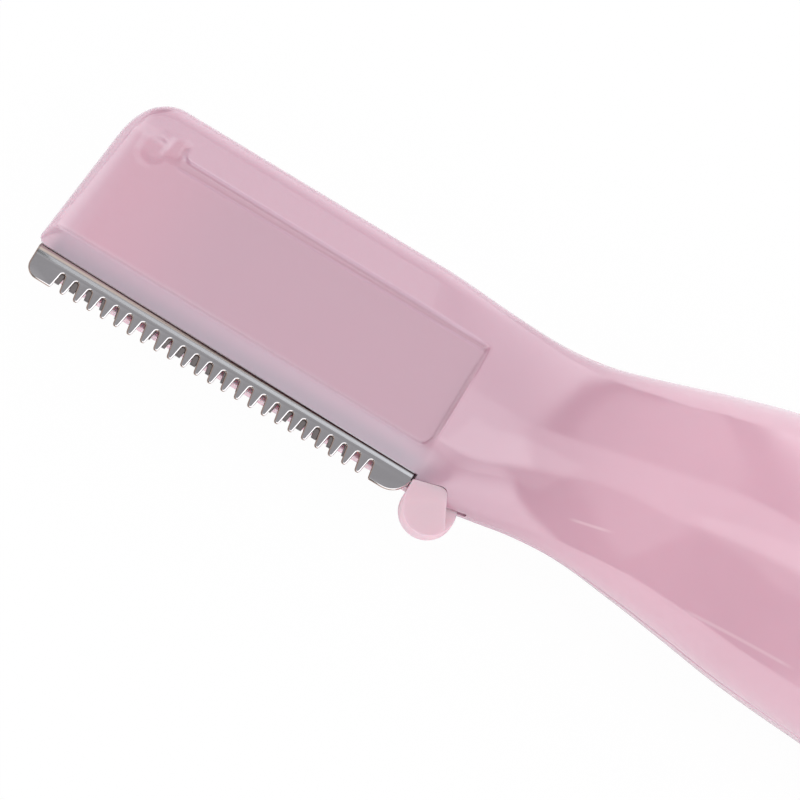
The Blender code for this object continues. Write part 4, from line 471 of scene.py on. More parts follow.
def apply(obj):
    """Leaves an object's modified mesh as its own."""
    evaluated = obj.evaluated_get(bpy.context.evaluated_depsgraph_get())
    mesh = bpy.data.meshes.new_from_object(evaluated)
    obj.modifiers.clear()
    old = obj.data
    obj.data = mesh
    bpy.data.meshes.remove(old)
    return obj


def shade(obj, slot, degrees=SHARP_DEGREES):
    """Smooth shading up to an angle, and a slot's material."""
    obj.data.materials.clear()
    obj.data.materials.append(looks[slot].material)
    obj.data.shade_smooth()
    obj.data.set_sharp_from_angle(angle=math.radians(degrees))
    return obj


def flattened(obj):
    """Keeps the shading of large faces flat beside their rounded rims."""
    modifier = obj.modifiers.new("normals", "WEIGHTED_NORMAL")
    modifier.keep_sharp = True
    modifier.weight = 100
    return obj


def arc(centre, radius, start_deg, end_deg, steps):
    angles = [math.radians(mix(start_deg, end_deg, i / steps)) for i in range(steps + 1)]
    return [(centre[0] + radius * math.cos(a), centre[1] + radius * math.sin(a)) for a in angles]


def bent(obj, spots, normal, rise):
    """Cuts an object's faces along parallel planes, then lifts each of its points by what rise gives."""
    shape = bmesh.new()
    shape.from_mesh(obj.data)
    for spot in spots:
        everything = [*shape.verts, *shape.edges, *shape.faces]
        bmesh.ops.bisect_plane(shape, geom=everything, plane_co=spot, plane_no=normal)
    for vertex in shape.verts:
        vertex.co.z += rise(vertex.co) * MM
    shape.to_mesh(obj.data)
    shape.free()
    return obj


# Materials


def feed(tree, socket, value):
    """Links a socket to another one, or sets it to a plain value."""
    if isinstance(value, bpy.types.NodeSocket):
        tree.links.new(value, socket)
    else:
        socket.default_value = value


def add_node(tree, kind, **inputs):
    """A new shader node, with its named inputs fed."""
    node = tree.nodes.new("ShaderNode" + kind)
    for key, value in inputs.items():
        feed(tree, node.inputs[key.replace("_", " ")], value)
    return node


def ranged(tree, value, low, high, out_low=0.0, out_high=1.0, kind="SMOOTHSTEP"):
    """A value brought from one range to another, and held at its ends."""
    node = add_node(tree, "MapRange", Value=value, From_Min=low, From_Max=high,
                    To_Min=out_low, To_Max=out_high)
    node.interpolation_type = kind
    return node.outputs["Result"]


def joined(tree, operation, *values):
    """Sockets, or sockets and numbers, joined by one operation from the first to the last."""
    total = values[0]
    for value in values[1:]:
        node = tree.nodes.new("ShaderNodeMath")
        node.operation = operation
        feed(tree, node.inputs[0], total)
        feed(tree, node.inputs[1], value)
        total = node.outputs["Value"]
    return total


class Look:
    """A node material on one Principled shader, with object coordinates."""

    def __init__(self, name, colour, roughness, metallic=0.0):
        self.material = bpy.data.materials.new(name)
        self.material.use_nodes = True
        self.tree = self.material.node_tree
        self.shader = self.tree.nodes["Principled BSDF"]
        self.colour = colour
        self.feed("Base Color", (*colour, 1))
        self.feed("Roughness", roughness)
        self.feed("Metallic", metallic)
        self.coords = self.tree.nodes.new("ShaderNodeTexCoord").outputs["Object"]
        self.normal = None

    def feed(self, name, value):
        """Links or sets one of the shader's inputs."""
        feed(self.tree, self.shader.inputs[name], value)

    def noise(self, scale, detail, stretch=(1, 1, 1)):
        """Noise with a scale in features to the millimetre."""
        mapping = add_node(self.tree, "Mapping", Vector=self.coords, Scale=[s / MM for s in stretch])
        node = add_node(self.tree, "TexNoise", Vector=mapping.outputs["Vector"], Scale=scale, Detail=detail)
        return node.outputs["Fac"]

    def along(self, axis, low, high):
        """0 below and 1 above two places along X or Y, in the trimmer's own millimetres."""
        split = add_node(self.tree, "SeparateXYZ", Vector=self.coords)
        shift = TIP_X if axis == "X" else COMB_TIP_Y
        return self.change(split.outputs[axis], (low + shift) * MM, (high + shift) * MM)

    def slanted(self, slope_x, slope_y, low, high):
        """0 to 1 across a slanted band, in the trimmer's own millimetres."""
        node = add_node(self.tree, "VectorMath")
        node.operation = "DOT_PRODUCT"
        feed(self.tree, node.inputs[0], self.coords)
        feed(self.tree, node.inputs[1], (slope_x, slope_y, 0))
        shift = slope_x * TIP_X + slope_y * COMB_TIP_Y
        return self.change(node.outputs["Value"], (low + shift) * MM, (high + shift) * MM)

    def facing(self, low, high, axis="Z"):
        """0 to 1 as a face turns towards the front, or along another axis."""
        geometry = add_node(self.tree, "NewGeometry")
        split = add_node(self.tree, "SeparateXYZ", Vector=geometry.outputs["Normal"])
        return self.change(split.outputs[axis], low, high)

    def change(self, value, low, high):
        """0 to 1 between two values, with an even curve."""
        return ranged(self.tree, value, low, high)

    def both(self, *values):
        """The product of two or more values."""
        return joined(self.tree, "MULTIPLY", *values)

    def span(self, axis, rising, falling):
        """1 along a stretch of X or Y that comes in over one pair of places and goes out over another."""
        return self.both(self.along(axis, *rising), self.along(axis, *falling))

    def strip(self, slope_x, slope_y, rising, falling):
        """1 in a slanted strip that comes in over one pair of places and goes out over another."""
        return self.both(self.slanted(slope_x, slope_y, *rising), self.slanted(slope_x, slope_y, *falling))

    def tint(self, value, other, strength=1.0):
        """Mixes the colour towards another one."""
        node = self.tree.nodes.new("ShaderNodeMix")
        node.data_type = "RGBA"
        socket = self.shader.inputs["Base Color"]
        before = socket.links[0].from_socket if socket.links else (*self.colour, 1)
        feed(self.tree, node.inputs["A"], before)
        feed(self.tree, node.inputs["B"], (*other, 1))
        feed(self.tree, node.inputs["Factor"], value if strength == 1.0 else self.both(value, strength))
        self.feed("Base Color", node.outputs["Result"])

    def rough(self, value, low, high):
        """Lets the roughness follow a value between two levels."""
        self.feed("Roughness", ranged(self.tree, value, 0.0, 1.0, low, high))

    def bump(self, value, distance):
        """Adds a height in millimetres to the surface's shading."""
        node = add_node(self.tree, "Bump", Height=value, Distance=distance * MM, Strength=1.0)
        if self.normal:
            feed(self.tree, node.inputs["Normal"], self.normal)
        self.normal = node.outputs["Normal"]
        self.feed("Normal", self.normal)


# The scales of the plastics' noise: the flow of colour, the gloss, the skin and its slow waves
FLOW_SCALE = 0.12
GLOSS_SCALE = 0.7
SKIN_SCALE = 6.0
WAVE_SCALE = 0.25
STAIN_SCALE = 0.6
SCATTER_RADIUS = (1.0, 0.45, 0.55)
SCATTER_DEPTH = 1.2


def plastic(name, colour, roughness, spread, grain, subsurface=0.0):
    """Moulded plastic: faint flow of colour, a fine skin and uneven gloss."""
    look = Look(name, colour, roughness)
    if subsurface:
        look.feed("Subsurface Weight", subsurface)
        look.feed("Subsurface Radius", SCATTER_RADIUS)
        look.feed("Subsurface Scale", SCATTER_DEPTH * MM)
    darker = tuple(c * 0.93 for c in colour)
    look.tint(look.change(look.noise(FLOW_SCALE, 3), 0.35, 0.7), darker, 0.6)
    look.rough(look.noise(GLOSS_SCALE, 4), roughness - spread, roughness + spread)
    look.bump(look.noise(SKIN_SCALE, 3), grain)
    look.bump(look.noise(WAVE_SCALE, 2), grain * 5)
    return look


def metal(name, colour, roughness, stretch=(1, 1, 1), grain=0.003, scale=8.0, spread=0.08):
    """Bare metal with a drawn or ground grain."""
    look = Look(name, colour, roughness, 1.0)
    darker = tuple(c * 0.8 for c in colour)
    look.tint(look.change(look.noise(STAIN_SCALE, 3), 0.4, 0.75), darker, 0.5)
    look.rough(look.noise(scale, 3, stretch), roughness - spread, roughness + spread)
    look.bump(look.noise(scale * 1.5, 2, stretch), grain)
    return look


PINK = (0.698, 0.41, 0.489)
TAB_PINK = (0.64, 0.463, 0.505)

# Each material's maker, colour and roughness, then what else the maker takes
LOOKS = {
    "body_plastic": (plastic, PINK, 0.1, 0.02, 0.0006, 0.3),
    "arm_plastic": (plastic, TAB_PINK, 0.42, 0.05, 0.004, 0.5),
    "comb_steel": (metal, (0.93, 0.92, 0.91), 0.16, (1, 8, 8), 0.0006, 3.0, 0.04),
    # The cutter's steel is made near black: painted shade, for the shadow it lies in behind the comb
    "cutter_steel": (metal, (0.13, 0.118, 0.115), 0.3, (8, 1, 1), 0.002),
    "spring_steel": (metal, (0.6, 0.6, 0.6), 0.25),
    "motor_steel": (metal, (0.6, 0.6, 0.6), 0.3, (1, 12, 12)),
    "screw_steel": (metal, (0.5, 0.5, 0.5), 0.28),
    "drive_plastic": (plastic, (0.82, 0.8, 0.75), 0.45, 0.05, 0.006),
    "black_plastic": (plastic, (0.02, 0.02, 0.022), 0.5, 0.06, 0.01),
    "knob_plastic": (plastic, (0.78, 0.72, 0.74), 0.4, 0.05, 0.006),
    "contact_brass": (metal, (0.72, 0.53, 0.26), 0.25, (1, 6, 6)),
    "cell_jacket": (plastic, (0.02, 0.09, 0.05), 0.2, 0.04, 0.004),
    "red_insulation": (plastic, (0.42, 0.015, 0.015), 0.45, 0.05, 0.01),
    "black_insulation": (plastic, (0.015, 0.015, 0.016), 0.45, 0.05, 0.01),
}
GLOSS = {
    "IOR": 1.75, "Coat Weight": 1.0, "Coat Roughness": 0.06, "Coat IOR": 1.55,
    "Sheen Weight": 0.3, "Sheen Roughness": 0.35,
}
looks = {name: make(name, *row) for name, (make, *row) in LOOKS.items()}
for name, value in GLOSS.items():
    looks["body_plastic"].feed(name, value)


# The tints of the head, which paint light and shade on it: painted shade, painted highlights and painted
# reflections. Each fade is a pair of places in millimetres, 0 at the first and 1 at the second.
# The painted highlight, on the lit edges, the boss's lit side and the notch's ridge
HIGHLIGHT_PINK = (0.64, 0.45, 0.515)
# Painted shade: the head darker than the handle, its panel darker, and darker and greyer towards the panel's
# heel
HEAD_SHADE_PINK = (0.508, 0.296, 0.363)
HEAD_FADE = (42, 28)
PANEL_SHADE_PINK = (0.482, 0.237, 0.303)
PANEL_HEEL_SHADE_PINK = (0.417, 0.226, 0.286)
PANEL_TIP_FADE = (0.4, 2.4)
PANEL_HEEL_FADE = (27.6, 27.0)
PANEL_TOP_FADE = (11.45, 11.0)
PANEL_DEEPER = (2, 11)
# Painted reflection and shade on the slope: greyer, and darker at its foot by the comb
SLOPE_REFLECTION_PINK = (0.442, 0.304, 0.364)
SLOPE_FOOT_SHADE_PINK = (0.348, 0.268, 0.316)
SLOPE_HEEL_FADE = (29.5, 25.5)
SLOPE_FADE = (3.75, 3.0)
SLOPE_FOOT_FADE = (3.0, 2.1)


def tint_head(look):
    """Painted shade on the head against the neck and on its panel, and painted reflection and shade on the
    slope down to the comb.
    """
    look.tint(look.along("X", *HEAD_FADE), HEAD_SHADE_PINK)
    tip_fade = look.along("X", *PANEL_TIP_FADE)
    heel_fade = look.along("X", *PANEL_HEEL_FADE)
    panel = look.both(tip_fade, heel_fade, look.slanted(PANEL_TILT, 1, *PANEL_TOP_FADE))
    look.tint(panel, PANEL_SHADE_PINK)
    look.tint(look.both(panel, look.along("X", *PANEL_DEEPER)), PANEL_HEEL_SHADE_PINK)
    heel = look.along("X", *SLOPE_HEEL_FADE)
    look.tint(look.both(heel, look.along("Y", *SLOPE_FADE)), SLOPE_REFLECTION_PINK)
    look.tint(look.both(heel, look.along("Y", *SLOPE_FOOT_FADE)), SLOPE_FOOT_SHADE_PINK)


TIP_TILT = 0.099
TIP_FADE = (0.8, -0.2)
BACK_EDGE_HEEL = (30, 26)
BACK_EDGE_FADE = (12.9, 14.0)


def tint_outline(look):
    """Painted highlights on the edges at the tip and along the head's back."""
    look.tint(look.slanted(1, -TIP_TILT, *TIP_FADE), HIGHLIGHT_PINK, 0.8)
    back_edge = look.both(look.along("X", *BACK_EDGE_HEEL), look.along("Y", *BACK_EDGE_FADE))
    look.tint(back_edge, HIGHLIGHT_PINK, 0.6)


# Painted shade in the channel and along the faint line under it, and a painted highlight on the step over it
CHANNEL_SPAN = ((4.2, 5.2), (27.3, 26.3))
CHANNEL_SHADE_PINK = (0.435, 0.218, 0.278)
CHANNEL_FOOT_FADE = (10.44, 10.56)
CHANNEL_TOP_FADE = (11.08, 10.98)
STEP_HIGHLIGHT_PINK = (0.555, 0.363, 0.448)
STEP_FADES = ((11.08, 11.2), (11.44, 11.3))
LINE_SHADE_PINK = (0.477, 0.27, 0.345)
LINE_FADES = ((10.24, 10.36), (10.54, 10.42))


def tint_channel(look):
    """Painted shade in the channel, a painted highlight on the step over it and a faint painted shade line
    under it.
    """
    span = look.span("X", *CHANNEL_SPAN)
    foot = look.slanted(-CHANNEL_TILT, 1, *CHANNEL_FOOT_FADE)
    channel = look.both(foot, look.slanted(PANEL_TILT, 1, *CHANNEL_TOP_FADE))
    look.tint(look.both(channel, span), CHANNEL_SHADE_PINK, 0.7)
    look.tint(look.both(look.strip(PANEL_TILT, 1, *STEP_FADES), span), STEP_HIGHLIGHT_PINK, 0.6)
    look.tint(look.both(look.strip(-CHANNEL_TILT, 1, *LINE_FADES), span), LINE_SHADE_PINK, 0.6)


# A painted highlight on the boss's lit side and on the ridge, and painted shade in the notch
BOSS_HEIGHT = ((9.9, 10.4), (11.6, 11.1))
BOSS_FADES = ((1.6, 1.85), (2.4, 1.9))
NOTCH_SHADE_PINK = (0.467, 0.212, 0.276)
NOTCH_HEIGHT = ((10.5, 10.8), (12.3, 11.8))
NOTCH_FADES = ((1.35, 1.6), (2.5, 2.1))
RIDGE_FADES = ((0.95, 1.25), (1.5, 1.28))


def tint_boss(look):
    """A painted highlight on the boss's lit side, painted shade in the notch beside it and a painted
    highlight on its ridge.
    """
    look.tint(look.both(look.span("Y", *BOSS_HEIGHT), look.span("X", *BOSS_FADES)), HIGHLIGHT_PINK, 0.35)
    upright = look.span("Y", *NOTCH_HEIGHT)
    look.tint(look.both(look.strip(1, -NOTCH_TILT, *NOTCH_FADES), upright), NOTCH_SHADE_PINK, 0.8)
    look.tint(look.both(look.strip(1, -NOTCH_TILT, *RIDGE_FADES), upright), HIGHLIGHT_PINK, 0.35)


# Each glint's slope, height over the comb's tips, start, end and strength
GLINTS = ((0.16, -1.98, 37.2, 39.6, 0.5), (0.0, 2.5, 46.2, 53.5, 0.4))
GLINT_PINK = (0.86, 0.66, 0.7)


def tint_glints(look):
    """Painted highlights: two short glints on the neck."""
    for slope, low, start, end, share in GLINTS:
        streak = look.strip(-slope, 1, (low - 0.12, low), (low + 0.14, low + 0.02))
        ends = look.span("X", (start - 0.4, start + 0.6), (end + 0.4, end - 0.8))
        look.tint(look.both(streak, ends), GLINT_PINK, share)


# A painted highlight on the tab's rims, where they turn away from the front
TAB_RIM_HIGHLIGHT = (0.78, 0.57, 0.62)
# Painted reflections on the comb's steel, a warm brown strip over its bend, and painted shade under the
# plate's edge
STEEL_TOP_REFLECTION = (0.5, 0.51, 0.52)
STEEL_TIP_RIM_REFLECTION = (0.22, 0.165, 0.14)
STEEL_LOW_RIM_REFLECTION = (0.42, 0.33, 0.28)
STEEL_FACE_REFLECTION = (0.175, 0.172, 0.175)
STEEL_BEND = (0.345, 0.29, 0.25)
STEEL_SHADE = (0.2, 0.14, 0.145)


def tint_comb(look):
    """Painted reflections: grey over the slots, warm rims and a dark face; then a warm brown strip over the
    bend that runs into painted shade under the plate's edge.
    """
    look.tint(look.along("Y", 1.36, 1.42), STEEL_TOP_REFLECTION)
    look.tint(look.facing(-0.1, -0.35, "X"), STEEL_TIP_RIM_REFLECTION)
    look.tint(look.facing(-0.35, -0.75, "Y"), STEEL_LOW_RIM_REFLECTION)
    look.tint(look.facing(0.955, 0.99), STEEL_FACE_REFLECTION)
    look.tint(look.along("Y", 1.7, 1.8), STEEL_BEND, 0.9)
    look.tint(look.along("Y", 1.83, 1.96), STEEL_SHADE)


for tint_part in (tint_head, tint_outline, tint_channel, tint_boss, tint_glints):
    tint_part(looks["body_plastic"])
tab_look = looks["arm_plastic"]
# painted highlight on the tab's rims
tab_look.tint(tab_look.facing(0.8, 0.4), TAB_RIM_HIGHLIGHT)
tint_comb(looks["comb_steel"])


# The housing

# Where the outlines stand closer together: start, end and step
FINE_STEPS = ((4, 5.4, 0.1), (26.6, 27.8, 0.1), (66, 85, 0.15))
HEAD_STEP = 0.22
GRIP_STEP = 0.45
TIP_STATIONS = 16
TIP_DEGREES = 4

# The compartments for the lever, the motor, the switch and the cell: start, end and wall
BAYS = ((28.4, 43.2, 1.1), (44.4, 56.0, 1.5), (57.2, 83.6, 1.5), (84.8, SPLIT_X + 1, 2.4))
SWITCH_BAY = 2
BAY_RINGS = 12
BAY_STRIDE = 8
BAY_OVERLAP = 1
POST_RADIUS = 2.4
WELL_RADIUS = 1.8
WELL_FLOOR = -4.5
STEM_SLOT = (3.4, 1.35)
STEM_Z = (6.0, 9.5)

# The finger tab: the centre and radius of its round end, and the edge of the front shell's notch for it
TAB = (29.2, 0.5)
TAB_RADIUS = 1.8
TAB_NOTCH = (
    (27.3, 1.32), (27.745, 1.44), (28.395, 1.62), (28.995, 1.8), (29.255, 1.86),
    (29.515, 1.82), (29.7, 1.66), (30.28, 0.59), (30.62, 0.5), (31.08, 0.5),
)

# The chamber for the arm and the comb, open below, with its ways out
EYE = (PIVOT[0], height(PIVOT[1]))
CHAMBER_Z = (-1.25, 1.15)
CHAMBER_TOP = 10.45
BELOW = height(-2)
BEYOND_TIP = -2
BAY_BEFORE_HEEL = 1.2
BAY_PAST_HEEL = 2.2
TAB_BAY_TOP = 5.2
TAB_WELL_GAP = 0.07
TAB_WELL_Z = (-1.07, 0.47)
EYE_POCKET = 1.9
MOUTH_ABOVE_PIVOT = 1.34
BORE_RADIUS = 0.7
BORE_Z = (-3, 1.85)
TAIL_WAY = ((31.3, 0.9), (31.75, 2.3), (31.75, TAB_BAY_TOP))
TAIL_WAY_Z = (0.17, 0.53)

# What is cut from the tip's lower corner of each plate: x and the height over the comb's tips
FRONT_CORNER_TOP = 4.4
FRONT_CORNER = (
    (-0.6, 3.3), (-0.43, 2.9), (-0.4, 2.6), (-0.3, 2.3), (-0.12, 2.1), (0.05, 2.03), (0.4, 1.95),
)
FRONT_CORNER_END = 1.2
BACK_CORNER_TOP = 6.4
BACK_CORNER = ((-0.1, 6.0), (0.15, 4.2), (0.3, 3.2), (0.55, 2.5), (0.9, 2.1), (1.4, 1.9))
BACK_CORNER_END = 2.4
CORNER_DEPTH = 4


def step_at(x):
    """How far the next outline stands from the one at a place along X."""
    for start, end, step in FINE_STEPS:
        if start < x < end:
            return step
    return HEAD_STEP if x < HEAD_LENGTH + 3 else GRIP_STEP


def body_stations(end):
    """Where the outlines of a shell stand along X, closer together where the head's relief is."""
    turns = [math.radians(TIP_DEGREES * i) for i in range(TIP_STATIONS)]
    stations = [HEAD_CORNER * (1 - math.cos(turn)) for turn in turns]
    while stations[-1] < end:
        stations.append(min(stations[-1] + step_at(stations[-1]), end))
    return stations


def shell(name, side, relief):
    """One half of the housing, hollow where the mechanism and the cell are."""
    obj = skin(name, [half_ring(x, side, relief) for x in body_stations(SPLIT_X)])
    hollows = []
    for i, (start, end, wall) in enumerate(BAYS):
        stations = [mix(start, end, j / BAY_RINGS) for j in range(BAY_RINGS + 1)]
        rings = [half_ring(x, side, relief, wall)[::BAY_STRIDE] for x in stations]
        # the hollow reaches across the seam, so that it is open there
        rings = [[(px, py, pz if abs(pz) > SIDE_HEIGHT else -side * BAY_OVERLAP) for px, py, pz in ring]
                 for ring in rings]
        hollow = skin(f"{name}_hollow_{i}", rings)
        if i == SWITCH_BAY:
            deep = GRIP_THICKNESS / 2
            posts = [rod(f"{name}_post_{j}", POST_RADIUS, (*spot, -deep), (*spot, deep))
                     for j, spot in enumerate(SCREWS)]
            combine(hollow, "DIFFERENCE", *posts)
        hollows.append(hollow)
    return combine(obj, "DIFFERENCE", *hollows)


def raised(points):
    """An outline whose second values are heights over the comb's tips, in the trimmer's own frame."""
    return [(x, height(t)) for x, t in points]


def chamber_tools():
    """The chamber for the arm, and the room round its eye and its tab."""
    back_z, front_z = CHAMBER_Z
    tab = (TAB[0], height(TAB[1]))
    bay_start, bay_end = HEAD_LENGTH - BAY_BEFORE_HEEL, HEAD_LENGTH + BAY_PAST_HEEL
    well_low, well_high = TAB_WELL_Z
    return [
        box("chamber", (BEYOND_TIP, BELOW, back_z), (HEAD_LENGTH, height(CHAMBER_TOP), front_z)),
        box("tab_bay", (bay_start, BELOW, back_z), (bay_end, height(TAB_BAY_TOP), front_z)),
        rod("tab_well", TAB_RADIUS + TAB_WELL_GAP, (*tab, well_low), (*tab, well_high)),
        rod("eye_pocket", EYE_POCKET, (*EYE, back_z), (*EYE, front_z)),
        box("tip_mouth", (BEYOND_TIP, BELOW, back_z), (EYE[0], EYE[1] + MOUTH_ABOVE_PIVOT, front_z)),
    ]


def head_tools(front):
    """The chamber, the pivot's bore, the tail's way out, and everything below the plate's edge."""
    tip_edge, heel_edge = height(plate_edge(0)), height(plate_edge(HEAD_LENGTH))
    below = [(BEYOND_TIP, BELOW), (HEAD_LENGTH, BELOW), (HEAD_LENGTH, heel_edge), (0, tip_edge),
             (BEYOND_TIP, tip_edge)]
    tools = chamber_tools()
    tools.append(plate("below_plate", below, -9, 9))
    tools.append(rod("pivot_bore", BORE_RADIUS, (*EYE, BORE_Z[0]), (*EYE, BORE_Z[1])))
    top = FRONT_CORNER_TOP if front else BACK_CORNER_TOP
    points = FRONT_CORNER if front else BACK_CORNER
    end = FRONT_CORNER_END if front else BACK_CORNER_END
    corner = [(BEYOND_TIP, BELOW), (BEYOND_TIP, height(top)), *raised(points), (end, BELOW)]
    corner_z = (0, CORNER_DEPTH) if front else (-CORNER_DEPTH, 0)
    tools.append(plate("tip_corner", corner, *corner_z))
    way = [(HEAD_LENGTH, BELOW), (TAIL_WAY[0][0], BELOW), *raised(TAIL_WAY)]
    way.append((HEAD_LENGTH, height(TAB_BAY_TOP)))
    tools.append(plate("tail_way", way, *TAIL_WAY_Z))
    if front:
        notch = [(TAB_NOTCH[0][0], BELOW), *raised(TAB_NOTCH), (31.2, BELOW)]
        tools.append(plate("tab_notch", notch, 0, 9))
    return tools


def front_shell():
    """The front half, with the slot for the switch's stem."""
    obj = shell("front_housing", 1, front_relief)
    across, up = STEM_SLOT
    slot = box("stem_slot", (SWITCH_X - across, -up, STEM_Z[0]), (SWITCH_X + across, up, STEM_Z[1]))
    combine(obj, "DIFFERENCE", *head_tools(True), slot)
    return shade(obj, "body_plastic")


def back_shell():
    """The back half, with a well over each case screw."""
    obj = shell("back_housing", -1, back_relief)
    wells = []
    for i, spot in enumerate(SCREWS):
        wells.append(rod(f"screw_well_{i}", WELL_RADIUS, (*spot, -10), (*spot, WELL_FLOOR)))
    combine(obj, "DIFFERENCE", *head_tools(False), *wells)
    return shade(obj, "body_plastic")


# The steel and the small parts

PIN_RADIUS = 0.6
PIN_HEAD_RADIUS = 0.95
PIN_HEAD_Z = (-2.34, -2.0)
COMB_LENGTH = 27.4
COMB_TOP = 5.4
COMB_SLOTS = 24
COMB_FIRST = 2.13
COMB_PITCH = 0.978
COMB_Z = (0.51, 0.75)
SLOT_MOUTH = 0.64
SLOT_END = 0.3
SLOT_DEPTH = 1.17
TOOTH_ROUND = 0.1
TOOTH_TIP = 0.035
SLOT_TAPER = 0.03
TIP_LEAD = 0.13
TIP_RADIUS = 0.85
HEEL_RADIUS = 1.5
BEND_START = 1.3
BEND_STEP = 0.05
BEND_CUTS = 28
BENDS = ((0.08, 1.44, 1.76), (0.11, 1.78, 2.6))


def pivot_pin():
    """The pin that the arm swings on, with a rounded head at the back."""
    pin = rod("pivot_pin", PIN_RADIUS, (*EYE, -2.1), (*EYE, 1.8))
    outline = arc(EYE, PIN_HEAD_RADIUS, 0, 354, 59)
    head = plate("pin_head", outline, *PIN_HEAD_Z, 0.12, 3)
    return shade(flattened(combine(pin, "UNION", head)), "body_plastic")


def comb_slot(x):
    """The outline of one slot and of the rounded tooth corners beside it."""
    half = SLOT_MOUTH / 2
    start = [
        (x - half - TOOTH_ROUND, 0.0),
        (x - half - TOOTH_ROUND * 0.4, TOOTH_TIP),
        (x - half, TOOTH_ROUND),
        (x - half + SLOT_TAPER, TOOTH_ROUND * 2),
    ]
    mirrored = [(2 * x - px, t) for px, t in reversed(start)]
    return start + arc((x, SLOT_DEPTH - SLOT_END / 2), SLOT_END / 2, 180, 0, 8) + mirrored


def comb_outline():
    """The flat comb: rounded teeth, slots with round ends, and a rounded tab at each end."""
    points = arc((TIP_RADIUS - TIP_LEAD, TIP_RADIUS), TIP_RADIUS, 180, 270, 8)
    for i in range(COMB_SLOTS):
        points += comb_slot(COMB_FIRST + i * COMB_PITCH)
    points += arc((COMB_LENGTH - HEEL_RADIUS, HEEL_RADIUS), HEEL_RADIUS, 270, 360, 12)
    points += [(COMB_LENGTH, COMB_TOP), (0.4, COMB_TOP), (0.0, 2.4), (-TIP_LEAD, 2.0)]
    return raised(points)


def comb():
    """The comb, bent up towards the face between its slots and the plate."""
    obj = plate("comb", comb_outline(), *COMB_Z, 0.115, 5)
    spots = [Vector(place((0, height(BEND_START + BEND_STEP * i), 0))) for i in range(BEND_CUTS)]

    def rise(point):
        t = point.y / MM - COMB_TIP_Y
        return sum(lift * smooth(low, high, t) for lift, low, high in BENDS)

    bent(obj, spots, (0, 1, 0), rise)
    return shade(flattened(obj), "comb_steel", 50)


CUTTER_PITCH = 1.104
CUTTER_FIRST = 2.0
CUTTER_GAPS = 21
CUTTER_START = 0.9
CUTTER_END = 26.2
CUTTER_TIP = 0.5
CUTTER_ROOT = 1.5
CUTTER_TOP = 5.8
CUTTER_Z = (0.2, 0.49)
GAP_MOUTH = 0.37
GAP_ROOT = 0.2
TAIL_END = 31.25
TAIL_LOW = 2.48
TAIL_HIGH = 4.68
CLEFT_HALF = 0.52
CLEFT_LOW = 2.95
CLEFT_HIGH = 4.2
PEGS = ((7.17, 4.2), (19.7, 4.2))
PEG_RADIUS = 0.7
PEG_SLOT_RADIUS = 0.74
PEG_TRAVEL = 0.42


def moving_cutter():
    """The toothed strip behind the comb, with a cleft in its tail for the drive lever's peg."""
    points = [(CUTTER_START, CUTTER_TIP)]
    for i in range(CUTTER_GAPS):
        x = CUTTER_FIRST + (i + 0.5) * CUTTER_PITCH
        points += [(x - GAP_MOUTH, CUTTER_TIP), (x - GAP_ROOT, CUTTER_ROOT)]
        points += [(x + GAP_ROOT, CUTTER_ROOT), (x + GAP_MOUTH, CUTTER_TIP)]
    points += [(CUTTER_END, CUTTER_TIP), (CUTTER_END, TAIL_LOW), (TAIL_END, TAIL_LOW), (TAIL_END, TAIL_HIGH)]
    left, right = LEVER_X - CLEFT_HALF, LEVER_X + CLEFT_HALF
    points += [(LEVER_X + 0.75, TAIL_HIGH), (right, CLEFT_HIGH), (right, CLEFT_LOW)]
    points += [(left, CLEFT_LOW), (left, CLEFT_HIGH), (LEVER_X - 0.6, TAIL_HIGH)]
    points += [(CUTTER_END, TAIL_HIGH), (CUTTER_END, CUTTER_TOP), (CUTTER_START, CUTTER_TOP)]
    obj = plate("cutter", raised(points), *CUTTER_Z, 0.03, 2)
    slots = []
    for i, (x, t) in enumerate(PEGS):
        outline = arc((x + PEG_TRAVEL, height(t)), PEG_SLOT_RADIUS, -90, 90, 12)
        outline += arc((x - PEG_TRAVEL, height(t)), PEG_SLOT_RADIUS, 90, 270, 12)
        slots.append(plate(f"peg_slot_{i}", outline, 0, 1))
    return shade(flattened(combine(obj, "DIFFERENCE", *slots)), "cutter_steel")


ARM_Z = (-1.0, 0.1)
ARM_EYE = 1.75
ARM_START = 0.9
ARM_END = HEAD_LENGTH - 0.5
ARM_LOW = 0.95
ARM_TOP = 10.1
TAB_TOP_Z = 1.5
TAB_STEP_Z = 0.4
TAB_FACE = (
    (27.4, 1.3), (27.75, 1.42), (28.4, 1.6), (29.0, 1.78), (29.25, 1.84), (29.5, 1.8),
    (29.68, 1.65), (30.26, 0.58), (30.5, 0.16), (30.7, -0.1), (30.72, -0.3),
)
FOLD = (29.0, 0.62)
FOLD_DOWN = (0.5165, -0.8563, 0)
FOLD_STEP = 0.08
FOLD_CUTS = range(-4, 30)
FOLD_ROUND = 0.3
FOLD_SLOPE = 0.5
FOLD_DEPTH = 0.95


def tab_block():
    """The block of the finger tab, whose face folds down towards its free corner."""
    points = [*TAB_FACE, *arc(TAB, TAB_RADIUS - 0.01, -32, -182, 24)]
    obj = plate("tab_block", raised(reversed(points)), ARM_Z[0] + 0.1, TAB_TOP_Z, 0.07, 3)
    down = Vector(FOLD_DOWN)
    fold = Vector(place((FOLD[0], height(FOLD[1]), 0)))
    spots = [fold + down * FOLD_STEP * i * MM for i in FOLD_CUTS]

    def rise(point):
        reach = (point - fold).dot(down) / MM
        upper = min(max((point.z / MM - LIFT) / TAB_TOP_Z, 0.0), 1.0)
        if reach > FOLD_ROUND:
            slope = FOLD_SLOPE * reach
        else:
            slope = FOLD_SLOPE * max(reach + FOLD_ROUND, 0.0) ** 2 / (4 * FOLD_ROUND)
        return -min(slope, FOLD_DEPTH) * upper

    return bent(obj, spots, down, rise)


